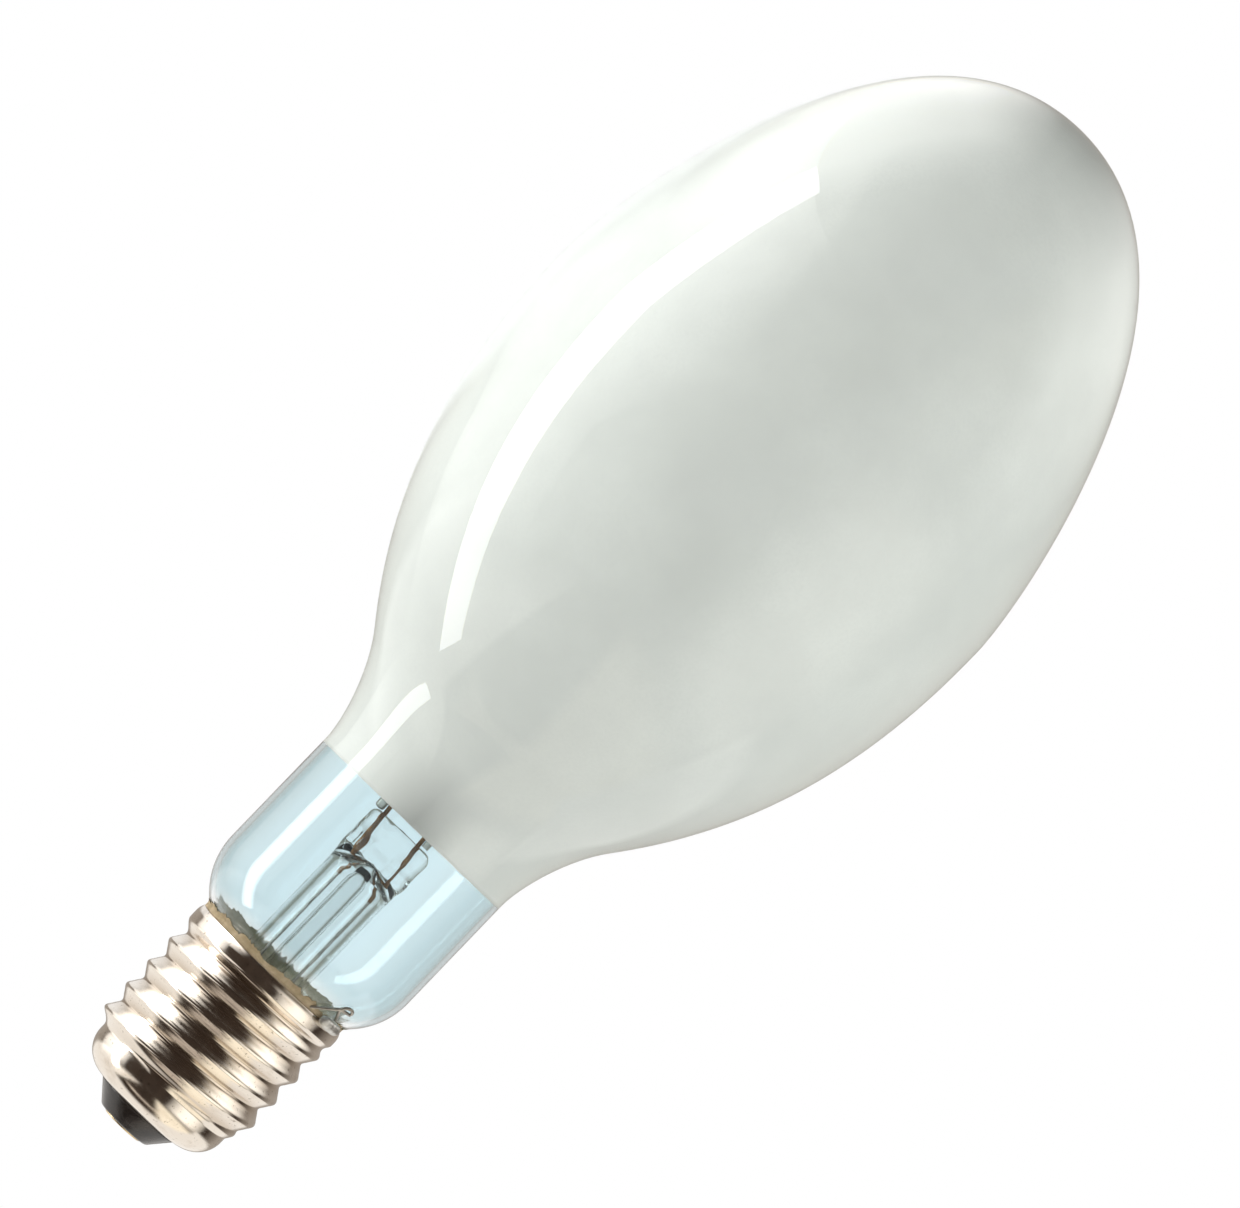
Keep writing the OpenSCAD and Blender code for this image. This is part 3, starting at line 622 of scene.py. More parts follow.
def rounded_path(points, radius, steps=10):
    """Straight runs with each corner rounded over that length."""
    points = [Vector(p) for p in points]
    result = [points[0]]
    for before, here, after in zip(points, points[1:], points[2:]):
        a, b = before - here, after - here
        cut = min(radius, 0.45 * a.length, 0.45 * b.length)
        start, end = here + a.normalized() * cut, here + b.normalized() * cut
        result += bend(start, here, end, steps)
    result.append(points[-1])
    return result


def wobble(point, scale, amount, seed=0.0):
    """A small steady shift of a point, out of true as handwork is."""
    return noise.noise_vector(point * scale + Vector((seed, seed * 1.7, seed * 0.6))) * amount


def smooth_step(t):
    t = min(1, max(0, t))
    return t * t * (3 - 2 * t)


def bulb_outline(bulb):
    """Outside of the bulb in the half plane, from the edge in the cap up to the dome."""
    middle = (bulb.neck_diameter / 2 - bulb.shoulder_radius, bulb.shoulder_height)
    reach = bulb.shoulder_radius + bulb.fillet_radius
    hollow_x = bulb.edge_radius + bulb.fillet_radius
    hollow = (hollow_x, middle[1] - math.sqrt(reach**2 - (hollow_x - middle[0]) ** 2))
    turn = math.degrees(math.acos((hollow_x - middle[0]) / reach))
    slope = Vector((math.sin(bulb.flare_angle), math.cos(bulb.flare_angle)))
    join = Vector((bulb.flare_diameter / 2, bulb.flare_height))
    neck = Vector((bulb.neck_diameter / 2, bulb.neck_top))
    wide = Vector((bulb.body_diameter / 2, bulb.widest_height))
    top = Vector((0, BULB_HIGH.z))
    up = Vector((0, 1))
    straight = [(neck.x, middle[1] + (neck.y - middle[1]) * i / 6) for i in range(1, 6)]
    return (
        [(bulb.edge_radius, BULB_LOW.z), (bulb.edge_radius, (BULB_LOW.z + hollow[1]) / 2)]
        + arc_points(hollow, bulb.fillet_radius, 180, 180 - turn, 8)
        + arc_points(middle, bulb.shoulder_radius, -turn, 0, 24)[1:]
        + straight
        + curve_points([neck, neck + 0.005 * up, join - 0.009 * slope, join], 20)
        + curve_points([join, join + 0.0325 * slope, wide - 0.0299 * up, wide], 44)[1:]
        + curve_points([wide, wide + 0.015 * up, top + Vector((0.0469, 0)), top], 60)[1:]
    )


def lift(points, height):
    """The part of an outline over that height, with one point at the height itself."""
    kept = [p for p in points if p[1] > height]
    return [(kept[0][0], height)] + kept


class LAMP_OT_outer_bulb(bpy.types.Operator):
    """Blown glass bulb with its clear neck and shoulder"""

    bl_idname = "lamp.outer_bulb"
    bl_label = "Outer Bulb"

    def execute(self, context):
        bulb = context.scene.lamp_bulb
        outside = bulb_outline(bulb)
        inside = inwards(outside, bulb.wall)
        mesh = lathe_mesh("bulb_glass", outside + inside[::-1], bulb.around)
        tinted_between = (SHELL_HIGH.z + 0.002, bulb.coat_edge)
        glass = glass_material("clear_glass", tuple(bulb.glass_tint), 0.00006, 32.0, tinted_between)
        piece = mesh_object("bulb_glass", mesh, glass)
        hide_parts("outer_bulb")
        return {"FINISHED"}


class LAMP_OT_coating(bpy.types.Operator):
    """White powder coat on the inside of the bulb above the clear neck"""

    bl_idname = "lamp.coating"
    bl_label = "White Coat"

    def execute(self, context):
        bulb = context.scene.lamp_bulb
        outline = bulb_outline(bulb)
        outside = lift(inwards(outline, bulb.wall - 0.0001), bulb.coat_edge)
        inside = lift(inwards(outline, bulb.wall + bulb.coat_wall), bulb.coat_edge)

        def ragged(point):
            near = max(0, 1 - (point.z - bulb.coat_edge) / 0.001)
            spot = Vector((point.x, point.y, 0)) * 260
            return point + Vector((0, 0, 0.0001 * near * (noise.noise(spot) + 0.4)))

        mesh = lathe_mesh("bulb_coat", outside + inside[::-1], bulb.around, ragged)
        powder = coat_material(tuple(bulb.coat_colour), bulb.coat_edge)
        piece = mesh_object("bulb_coat", mesh, powder)
        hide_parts("inner_coating")
        return {"FINISHED"}


def geometry_tree(name, counts, lengths):
    """An empty geometry tree with whole numbers and lengths as its inputs, and what they give."""
    tree = bpy.data.node_groups.new(name, "GeometryNodeTree")
    tree.interface.new_socket("Geometry", in_out="OUTPUT", socket_type="NodeSocketGeometry")
    for title in counts:
        tree.interface.new_socket(title, in_out="INPUT", socket_type="NodeSocketInt")
    for title in lengths:
        tree.interface.new_socket(title, in_out="INPUT", socket_type="NodeSocketFloat")
    return tree, tree.nodes.new("NodeGroupInput").outputs


def finish_geometry(tree, geometry, merge, material):
    """Joins the seams nearer than merge, makes the geometry real and gives it its finish."""
    joined = add(tree, "GeometryNodeMergeByDistance", {"Geometry": geometry, "Distance": merge})
    real = add(tree, "GeometryNodeRealizeInstances", {"Geometry": joined.outputs[0]})
    dressed = add(tree, "GeometryNodeSetMaterial", {"Geometry": real.outputs[0], "Material": material})
    out = tree.nodes.new("NodeGroupOutput")
    tree.links.new(dressed.outputs[0], out.inputs[0])


def screw_tree(material):
    """Geometry nodes that roll a sheet into the screw shell.

    A flat grid is bent round the axis, drawn in at the foot and the rim, and waved by the thread.
    """
    tree, size = geometry_tree(
        "Screw Shell",
        ("Steps Around", "Rings"),
        (
            "Thread Diameter",
            "Thread Depth",
            "Thread Pitch",
            "Crest Height",
            "Thread Start",
            "Thread End",
            "Run-in",
            "Foot Height",
            "Foot Diameter",
            "Foot Flange",
            "Belly Height",
            "Belly Diameter",
            "Bead Height",
            "Bead Diameter",
            "Bead Curl",
            "Rim Height",
        ),
    )

    def plus(a, b):
        return maths(tree, "ADD", a, b)

    def less(a, b):
        return maths(tree, "SUBTRACT", a, b)

    def times(a, b):
        return maths(tree, "MULTIPLY", a, b)

    def over(a, b):
        return maths(tree, "DIVIDE", a, b)

    def half(a):
        return times(a, 0.5)

    def cosine(a):
        return maths(tree, "COSINE", a)

    def sine(a):
        return maths(tree, "SINE", a)

    def eased(value, low, high):
        ends = {"Value": value, "From Min": low, "From Max": high}
        return add(tree, "ShaderNodeMapRange", ends, interpolation_type="SMOOTHSTEP").outputs["Result"]

    columns = plus(size["Steps Around"], 1)
    sides = {"Size X": 1.0, "Size Y": 1.0, "Vertices X": columns, "Vertices Y": size["Rings"]}
    grid = add(tree, "GeometryNodeMeshGrid", sides)
    position = tree.nodes.new("GeometryNodeInputPosition").outputs[0]
    place = add(tree, "ShaderNodeSeparateXYZ", {"Vector": position}).outputs
    turn = times(plus(place["X"], 0.5), 2 * math.pi)
    up = plus(place["Y"], 0.5)
    flange_share, foot_share = 0.03, 0.14
    flange = most(tree, less(1.0, over(up, flange_share)), 0.0)
    foot = spread(tree, up, flange_share, foot_share, 0.0, math.pi / 2)
    climb = ramp(tree, up, foot_share, 1.0)
    foot_rise = less(size["Belly Height"], size["Foot Height"])
    height = plus(
        less(size["Belly Height"], times(foot_rise, cosine(foot))),
        times(climb, less(size["Rim Height"], size["Belly Height"])),
    )
    bare = plus(
        half(size["Foot Diameter"]),
        times(half(less(size["Belly Diameter"], size["Foot Diameter"])), sine(foot)),
    )
    run_in = eased(height, size["Thread Start"], plus(size["Thread Start"], size["Run-in"]))
    run_out = eased(height, less(size["Thread End"], size["Run-in"]), size["Thread End"])
    pitch_radius = half(less(size["Thread Diameter"], size["Thread Depth"]))
    swing = times(less(height, size["Crest Height"]), over(2 * math.pi, size["Thread Pitch"]))
    phase = less(swing, turn)
    wave = plus(times(cosine(phase), 0.93), times(cosine(times(phase, 3.0)), 0.07))
    threaded = times(run_in, less(1.0, run_out))
    above_bead = most(tree, less(height, size["Bead Height"]), 0.0)
    curled = over(above_bead, less(size["Rim Height"], size["Bead Height"]))
    curl = times(size["Bead Curl"], times(curled, curled))
    radius = plus(
        plus(bare, times(less(pitch_radius, half(size["Belly Diameter"])), run_in)),
        plus(
            times(less(half(size["Bead Diameter"]), pitch_radius), run_out),
            times(times(wave, threaded), half(size["Thread Depth"])),
        ),
    )
    radius = less(less(radius, curl), times(size["Foot Flange"], flange))
    bent = add(
        tree,
        "ShaderNodeCombineXYZ",
        {
            "X": times(radius, cosine(turn)),
            "Y": times(radius, sine(turn)),
            "Z": height,
        },
    )
    crest = plus(times(plus(times(wave, 0.5), 0.5), threaded), less(1.0, threaded))
    marked = add(
        tree,
        "GeometryNodeStoreNamedAttribute",
        {"Geometry": grid.outputs["Mesh"], "Name": "crest", "Value": crest},
        data_type="FLOAT",
        domain="POINT",
    )
    ends = {"Geometry": marked.outputs[0], "Position": bent.outputs[0]}
    rolled = add(tree, "GeometryNodeSetPosition", ends)
    finish_geometry(tree, rolled.outputs[0], 10 * TOUCHING, material)
    return tree


def grown_mesh(name, tree, values, after=None):
    """The plain mesh that a geometry tree gives for these inputs; after adds modifiers that finish it."""
    seed = bpy.data.objects.new(name + "_seed", bpy.data.meshes.new(name + "_seed"))
    bpy.context.scene.collection.objects.link(seed)
    modifier = seed.modifiers.new("Nodes", "NODES")
    modifier.node_group = tree
    for item in tree.interface.items_tree:
        if item.in_out == "INPUT" and item.name in values:
            modifier[item.identifier] = values[item.name]
    if after:
        after(seed)
    graph = bpy.context.evaluated_depsgraph_get()
    mesh = bpy.data.meshes.new_from_object(seed.evaluated_get(graph), depsgraph=graph)
    mesh.name = name
    bpy.data.objects.remove(seed)
    if not mesh.polygons:
        raise RuntimeError(name + " came out empty")
    return mesh


class LAMP_OT_screw_shell(bpy.types.Operator):
    """Rolled and plated screw shell with its thread, bead, belly and turned foot"""

    bl_idname = "lamp.screw_shell"
    bl_label = "Screw Shell"

    def execute(self, context):
        cap = context.scene.lamp_cap
        plate = plated_shell_material(cap)
        values = {
            "Steps Around": cap.around,
            "Rings": cap.rings,
            "Thread Diameter": cap.thread_diameter,
            "Thread Depth": cap.thread_depth,
            "Thread Pitch": cap.thread_pitch,
            "Crest Height": cap.crest_height,
            "Thread Start": cap.thread_from,
            "Thread End": cap.thread_to,
            "Run-in": cap.run_in,
            "Foot Height": SHELL_LOW.z,
            "Foot Diameter": cap.foot_diameter,
            "Foot Flange": cap.foot_flange,
            "Belly Height": cap.belly_height,
            "Belly Diameter": cap.belly_diameter,
            "Bead Height": cap.bead_height,
            "Bead Diameter": cap.bead_diameter,
            "Bead Curl": cap.bead_curl,
            "Rim Height": SHELL_HIGH.z,
        }

        def thicken(seed):
            wall = seed.modifiers.new("Sheet", "SOLIDIFY")
            wall.thickness = cap.sheet
            wall.offset = -1
            wall.use_even_offset = False

        mesh = grown_mesh("screw_shell_rolled", screw_tree(plate), values, thicken)
        piece = mesh_object("screw_shell_rolled", mesh, plate)
        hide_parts("screw_shell")
        return {"FINISHED"}


class LAMP_OT_insulator(bpy.types.Operator):
    """Moulded black glass cone in the foot of the shell"""

    bl_idname = "lamp.insulator"
    bl_label = "Insulator"

    def execute(self, context):
        cap = context.scene.lamp_cap
        low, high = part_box("cap_insulator")
        eyelet_low, eyelet_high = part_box("contact_eyelet")
        outer = high.x
        groove = cap.foot_diameter / 2 - cap.foot_flange - ROOM
        under, above = SHELL_LOW.z - SEAT, SHELL_LOW.z + cap.sheet + SEAT
        head, neck = eyelet_high.x + SEAT, cap.eyelet_tube + SEAT
        floor_of_head = eyelet_low.z + cap.eyelet_head + SEAT
        tip = 0.0062
        profile = [
            (head, low.z),
            (tip, low.z),
            (outer, under),
            (groove, under),
            (groove, above),
            (outer, above),
            (outer, high.z),
            (neck, high.z),
            (neck, floor_of_head),
            (head, floor_of_head),
        ]
        mesh = lathe_mesh("insulator_moulded", rounded_corners(profile, 0.0005, 5), 128)
        glass = black_glass_material(tuple(cap.glass_colour))
        piece = mesh_object("insulator_moulded", mesh, glass)
        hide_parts("cap_insulator")
        return {"FINISHED"}


class LAMP_OT_contact(bpy.types.Operator):
    """Centre contact eyelet with its drop of solder"""

    bl_idname = "lamp.contact"
    bl_label = "Centre Contact"

    def execute(self, context):
        cap = context.scene.lamp_cap
        low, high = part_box("contact_eyelet")
        head, tube, bore, flange = high.x, cap.eyelet_tube, cap.eyelet_bore, cap.eyelet_flange
        under_head, under_flange = low.z + cap.eyelet_head, high.z - 0.0006
        dish_edge, dish_foot, dish_floor = 0.0025, 0.0020, low.z + 0.0005
        profile = [
            (dish_edge, low.z),
            (head, low.z),
            (head, under_head),
            (tube, under_head),
            (tube, under_flange),
            (flange, under_flange),
            (flange, high.z),
            (bore, high.z),
            (bore, dish_floor),
            (dish_foot, dish_floor),
        ]
        bright, dull = (0.78, 0.62, 0.36), (0.42, 0.30, 0.17)
        brass = metal_material("contact_brass", bright, dull, 0.26, (0.3, 0.3, 6.0), 260.0)
        mesh = lathe_mesh("contact_eyelet_turned", rounded_corners(profile, 0.0003, 4), 96)
        piece = mesh_object("contact_eyelet_turned", mesh, brass)
        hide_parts("contact_eyelet")
        drop_low, drop_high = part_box("contact_solder")
        drop = [
            (0, drop_low.z),
            (0.0007, drop_low.z),
            (0.0014, drop_low.z + 0.00012),
            (0.00195, drop_low.z + 0.0003),
            (bore - 0.0001, dish_floor),
            (bore - 0.0001, drop_high.z),
            (0, drop_high.z),
        ]

        def lumpy(point):
            depth = min(1, max(0, (0.0006 - point.z) / 0.0004))
            return point + Vector((0, 0, abs(noise.noise(point * 900)) * 0.0001 * depth))

        mesh = lathe_mesh("contact_solder_drop", drop, 64, lumpy)
        piece = mesh_object("contact_solder_drop", mesh, solder_material())
        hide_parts("contact_solder")
        return {"FINISHED"}


def solder_material():
    """Dull tin solder with frosty grains."""

    def build(tree):
        frost = grain(tree, 700.0, detail=6.0, roughness=0.7)
        pool = grain(tree, 180.0, detail=3.0)
        dull, bright = (0.46, 0.45, 0.42), (0.72, 0.71, 0.68)
        colour = blend_colour(tree, ramp(tree, frost, 0.3, 0.7), dull, bright)
        return principled(
            tree,
            {
                "Base Color": colour,
                "Metallic": 0.9,
                "Roughness": spread(tree, pool, 0.3, 0.7, 0.28, 0.5),
                "Normal": bump(tree, pool, 0.0003, 0.5, bump(tree, frost, 0.00003, 0.5)),
            },
        )

    return finish_material("solder", build)


def shoulder_radius_at(bulb, height, clear):
    """Radius of the shoulder at that height, moved out by clear."""
    drop = bulb.shoulder_height - height
    middle = bulb.neck_diameter / 2 - bulb.shoulder_radius
    return middle + math.sqrt((bulb.shoulder_radius + clear) ** 2 - drop**2)


def inside_bead(cap):
    """Radius of what passes the curled bead of the shell on its inside."""
    return cap.bead_diameter / 2 - cap.sheet - cap.bead_curl - ROOM


def around(radius, degrees, height):
    """A point at that radius and height, turned from the front towards the right."""
    a = math.radians(degrees)
    return Vector((radius * math.sin(a), -radius * math.cos(a), height))


class LAMP_OT_rim_solder(bpy.types.Operator):
    """Bead of solder that joins the side lead to the rim of the shell"""

    bl_idname = "lamp.rim_solder"
    bl_label = "Rim Solder"

    def execute(self, context):
        low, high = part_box("side_solder")
        middle, rise = (low.z + high.z) / 2, (high.z - low.z) / 2
        reach = SHELL_HIGH.x + 0.0007
        path = [around(reach, 43.5 + 21 * i / 40, middle) for i in range(41)]

        def thick(t):
            swelling = math.sqrt(max(0.0, 1 - 0.95 * (2 * t - 1) ** 4))
            return rise * swelling * (0.97 + 0.09 * noise.noise(Vector((t * 9, 2.3, 0))))

        mesh = wire_mesh("rim_solder_bead", path, thick, sides=28, cap_steps=5)
        for vertex in mesh.vertices:
            vertex.co = vertex.co + wobble(vertex.co, 900, 0.00006)
        piece = mesh_object("rim_solder_bead", mesh, solder_material())
        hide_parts("side_solder")
        return {"FINISHED"}


class LAMP_OT_cement(bpy.types.Operator):
    """Basing cement between the neck and the shell, which shows as a line over the rim"""

    bl_idname = "lamp.cement"
    bl_label = "Cement"

    def execute(self, context):
        bulb, cap = context.scene.lamp_bulb, context.scene.lamp_cap
        low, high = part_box("cap_cement")
        lip = high.x
        outline = [p for p in inwards(bulb_outline(bulb), -SEAT) if low.z < p[1] < high.z and p[0] < lip]
        rim = SHELL_HIGH.z + SEAT
        inner_thread = cap.thread_diameter / 2 - cap.thread_depth - cap.sheet - ROOM
        shell_side = [
            (inside_bead(cap), rim),
            (inside_bead(cap), cap.thread_to + 0.0003),
            (inner_thread, cap.thread_to - 0.002),
            (inner_thread, low.z),
        ]
        lip_top = high.z - 0.0001
        lip_side = [(lip, lip_top + (rim - lip_top) * i / 4) for i in range(5)]
        profile = [(bulb.edge_radius + SEAT, low.z)] + outline + lip_side + shell_side

        def crumbly(point):
            shown = smooth_step((point.z - rim) / 0.0005)
            if shown == 0:
                return point
            flat = Vector((point.x, point.y, 0))
            way = flat.normalized()
            smear = 0.0012 * max(0, 0.3 + 1.2 * noise.noise(way * 5.0) + 0.5 * noise.noise(way * 40.0))
            height = point.z + shown * smear
            radius = max(flat.length, shoulder_radius_at(bulb, height, SEAT + 0.00008 * shown))
            return way * radius + Vector((0, 0, height)) + wobble(point, 700, 0.00006 * shown)

        pale, dark = (0.92, 0.74, 0.52), (0.60, 0.46, 0.30)
        cement = grainy_material("cement", pale, dark, 420.0, 0.9, 0.0002, rim)
        mesh = lathe_mesh("cement_ring", profile, 256, crumbly)
        piece = mesh_object("cement_ring", mesh, cement)
        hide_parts("cap_cement")
        return {"FINISHED"}


def stem_sections(stem):
    """Half widths, half depths and squareness of the stem's outside at each height."""
    low, top = STEM_LOW.z, STEM_HIGH.z
    tube = stem.tube_diameter / 2
    press = top - stem.press_height
    fan = press - stem.fan_height
    edge = (stem.flare_radius, low + stem.flare_edge)
    foot = (tube, low + stem.flare_edge + stem.trumpet)
    poles = [edge, (edge[0] - 0.004, edge[1] + 0.0025), (foot[0], foot[1] - 0.009), foot]
    circle, squared = 2.0, 3.4
    sections = [(edge[0], edge[0], low, circle)] + [(r, r, z, circle) for r, z in curve_points(poles, 24)]
    sections += [(tube, tube, foot[1] + (fan - foot[1]) * i / 10, circle) for i in range(1, 11)]
    wide, deep = stem.press_width / 2, stem.press_thickness / 2
    for i in range(1, 15):
        t = i / 14
        width, depth = tube + (wide - tube) * t, tube + (deep - tube) * smooth_step(t)
        sections.append((width, depth, fan + (press - fan) * t, circle + (squared - circle) * t))
    corner, edge_depth = 0.002, 0.0011
    sections += [(wide, deep, press + (top - corner - press) * i / 12, squared) for i in range(1, 13)]
    for i in range(1, 9):
        w = math.pi / 2 * i / 8
        inset = 1 - math.cos(w)
        height = top - corner + corner * math.sin(w)
        sections.append((wide - corner * inset, deep - edge_depth * inset, height, squared))
    return sections


def squared_ring(a, b, height, power, steps):
    """A ring between an ellipse and a rectangle with rounded corners."""
    points = []
    for w in turns(steps):
        c, s = math.cos(w), math.sin(w)
        x = a * math.copysign(abs(c) ** (2 / power), c)
        y = b * math.copysign(abs(s) ** (2 / power), s)
        points.append(Vector((x, y, height)))
    return points


class LAMP_OT_stem(bpy.types.Operator):
    """Flared stem tube with its pressed seal, and the exhaust tube in it"""

    bl_idname = "lamp.stem"
    bl_label = "Stem"

    def execute(self, context):
        stem = context.scene.lamp_stem
        steps = 128
        sections = stem_sections(stem)
        press = STEM_HIGH.z - stem.press_height
        outside = [squared_ring(a, b, z, n, steps) for a, b, z, n in sections]
        a, b, z, n = sections[-1]
        for t in (0.8, 0.55, 0.3, 0.1):
            outside.append(squared_ring(a * t, b * t, z + 0.00008 * (1 - t), n, steps))
        outside.append([Vector((0, 0, z + 0.0001))])
        bore_top = press - 0.0006
        cone = bore_top - 0.003
        wall = stem.tube_wall
        bore = [(width - wall, height) for width, _, height, _ in sections if height < cone - 0.0005]
        exhaust = stem.exhaust_diameter / 2
        taper = stem.tube_diameter / 2 - wall - exhaust
        shares = [i / 10 for i in range(11)]
        bore += [(exhaust + taper * (1 - t) ** 1.2, cone + (bore_top - cone) * t) for t in shares]
        inside = [ring(r, z, steps) for r, z in bore] + [[Vector((0, 0, bore_top + 0.0008))]]

        def lumps(point):
            over = point.z - press
            share = smooth_step((over + 0.004) / 0.004)
            jaws = smooth_step((over + 0.0014) / 0.002) * (1 - 0.8 * smooth_step((over - 0.0028) / 0.002))
            rising = math.sin(2 * math.pi * (point.x + 0.6 * over) / 0.0050)
            falling = math.cos(2 * math.pi * (point.x - 0.8 * over) / 0.0063)
            push = wobble(point, 330, stem.lump, 4.0) * share
            push.z *= 0.4
            push.y += stem.jaw_mark * rising * falling * jaws * max(-1, min(1, point.y / 0.0015))
            return point + push

        bm = bmesh.new()
        ringed(bm, inside[::-1] + [[lumps(point) for point in loop] for loop in outside], closed=False)
        mesh = from_bmesh("stem_glass", bm)
        clear = glass_material("stem_clear_glass", (0.992, 0.995, 0.992), 0.0004, 260.0, None, press)
        piece = mesh_object("stem_glass", mesh, clear)
        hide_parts("stem")
        low, high = EXHAUST_LOW.z, EXHAUST_HIGH.z
        tip, hollow = (0, low + exhaust), exhaust - stem.exhaust_wall
        heights = [low + (high - low) * i / 12 for i in range(2, 13)]
        tube = arc_points(tip, exhaust, -90, 0, 10) + [(exhaust, z) for z in heights]
        tube += [(hollow, z) for z in reversed(heights)] + arc_points(tip, hollow, 0, -90, 10)
        mesh = lathe_mesh("exhaust_glass", tube, 64)
        piece = mesh_object("exhaust_glass", mesh, clear)
        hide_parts("exhaust_tube")
        return {"FINISHED"}


class LAMP_OT_leads(bpy.types.Operator):
    """Two seal wires in the press and the leads that run from them to the rim and the contact"""

    bl_idname = "lamp.leads"
    bl_label = "Leads"

    def execute(self, context):
        bulb, cap, stem = context.scene.lamp_bulb, context.scene.lamp_cap, context.scene.lamp_stem
        side_low, side_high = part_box("side_seal_wire")
        low_z, high_z = side_low.z, side_high.z
        brown, black = (0.30, 0.14, 0.05), (0.10, 0.045, 0.02)
        oxidised = metal_material("oxidised_wire", brown, black, 0.42, (1, 1, 0.2), 500.0)
        for node, foot, lean in (
            ("side_seal_wire", -stem.side_wire, stem.side_lean),
            ("centre_seal_wire", stem.centre_wire, stem.centre_lean),
        ):
            path = [(foot - lean * i / 20, 0, low_z + (high_z - low_z) * i / 20) for i in range(21)]
            mesh = wire_mesh(node + "_drawn", path, stem.seal_wire_radius, 20)
            piece = mesh_object(node + "_drawn", mesh, oxidised)
            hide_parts(node)
        grey, dull = (0.46, 0.43, 0.39), (0.20, 0.18, 0.15)
        drawn = metal_material("lead_wire", grey, dull, 0.36, (1, 1, 0.2), 400.0)
        lead, azimuth = stem.lead_radius, 35
        run = bulb.edge_radius + ROOM + lead
        glass_edge, rim = BULB_LOW.z, SHELL_HIGH.z
        hug = lead + 2 * SEAT
        inside = rounded_path(
            [
                (-stem.side_wire, 0, low_z - SEAT),
                (-stem.side_wire, 0, glass_edge - 0.0054),
                around(run, azimuth, glass_edge - 0.0054),
                around(run, azimuth, cap.thread_to - 0.001),
            ],
            0.003,
        )

        def on_shoulder(turned, height):
            return around(shoulder_radius_at(bulb, height, hug), azimuth + turned, height)

        past_bead = around((run + inside_bead(cap)) / 2, azimuth, rim - 0.0012)
        over_rim = [past_bead, on_shoulder(0, rim - 0.0002)]
        low_loop, top_loop = rim + 0.0008, rim + 0.0044
        up = [on_shoulder(9 * i / 10, low_loop + (top_loop - low_loop) * i / 10) for i in range(11)]
        half_turn = [math.pi - math.pi * i / 12 for i in range(1, 13)]
        over_top = [on_shoulder(13 - 4 * math.cos(w), top_loop + 0.0014 * math.sin(w)) for w in half_turn]
        back = [on_shoulder(18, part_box("side_solder")[1].z + lead + SEAT)]
        mesh = wire_mesh("side_lead_drawn", inside + over_rim + up + over_top + back, lead)
        piece = mesh_object("side_lead_drawn", mesh, drawn)
        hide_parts("side_lead")
        centre_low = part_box("centre_lead")[0].z
        insulator_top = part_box("cap_insulator")[1].z
        path = rounded_path(
            [
                (stem.centre_wire, 0, low_z - SEAT),
                (stem.centre_wire, 0, glass_edge - 0.001),
                (0, 0, insulator_top + 0.006),
                (0, 0, centre_low),
            ],
            0.003,
        )
        mesh = wire_mesh("centre_lead_drawn", path, lead)
        piece = mesh_object("centre_lead_drawn", mesh, drawn)
        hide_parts("centre_lead")
        return {"FINISHED"}


def finish_node(node, material):
    """Gives a CAD node its finish."""
    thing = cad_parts[node]
    thing.data.materials.clear()
    thing.data.materials.append(material)


class LAMP_OT_mount(bpy.types.Operator):
    """Frame, posts, straps, sleeves and getter that carry the arc tube"""

    bl_idname = "lamp.mount"
    bl_label = "Mount"

    def execute(self, context):
        stem = context.scene.lamp_stem
        bright, dull = (0.66, 0.62, 0.56), (0.36, 0.33, 0.29)
        nickel = metal_material("nickel_wire", bright, dull, 0.28, (1, 1, 0.2), 220.0)
        radius, seal = stem.frame_radius, STEM_HIGH.z
        leg, bar = FRAME_HIGH.x - radius, FRAME_HIGH.z - radius
        foot_x = -(stem.side_wire + stem.side_lean + stem.seal_wire_radius + radius + SEAT)
        path = rounded_path(
            [
                (foot_x, 0, FRAME_LOW.z),
                (foot_x, 0, seal + 0.005),
                (-leg, 0, seal + 0.021),
                (-leg, 0, bar),
                (leg, 0, bar),
                (leg, 0, seal + 0.020),
            ],
            0.010,
            14,
        )
        mesh = wire_mesh("frame_wire_bent", path, radius, 20)
        piece = mesh_object("frame_wire_bent", mesh, nickel)
        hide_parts("frame_wire")
        for node in (
            "lower_post",
            "upper_clamp_front",
            "upper_clamp_back",
            "lower_clamp_front",
            "lower_clamp_back",
            "upper_connector",
            "lower_connector",
            "getter_post",
        ):
            finish_node(node, nickel)
        grey, dark = (0.40, 0.38, 0.36), (0.16, 0.15, 0.15)
        finish_node("getter_ring", metal_material("getter_steel", grey, dark, 0.4, (1, 1, 1), 300.0))
        pale, cream = (0.80, 0.76, 0.66), (0.70, 0.65, 0.55)
        ceramic = grainy_material("sleeve_ceramic", pale, cream, 300.0, 0.75, 0.00005)
        for node in ("rod_sleeve_left", "rod_sleeve_right"):
            finish_node(node, ceramic)
        return {"FINISHED"}


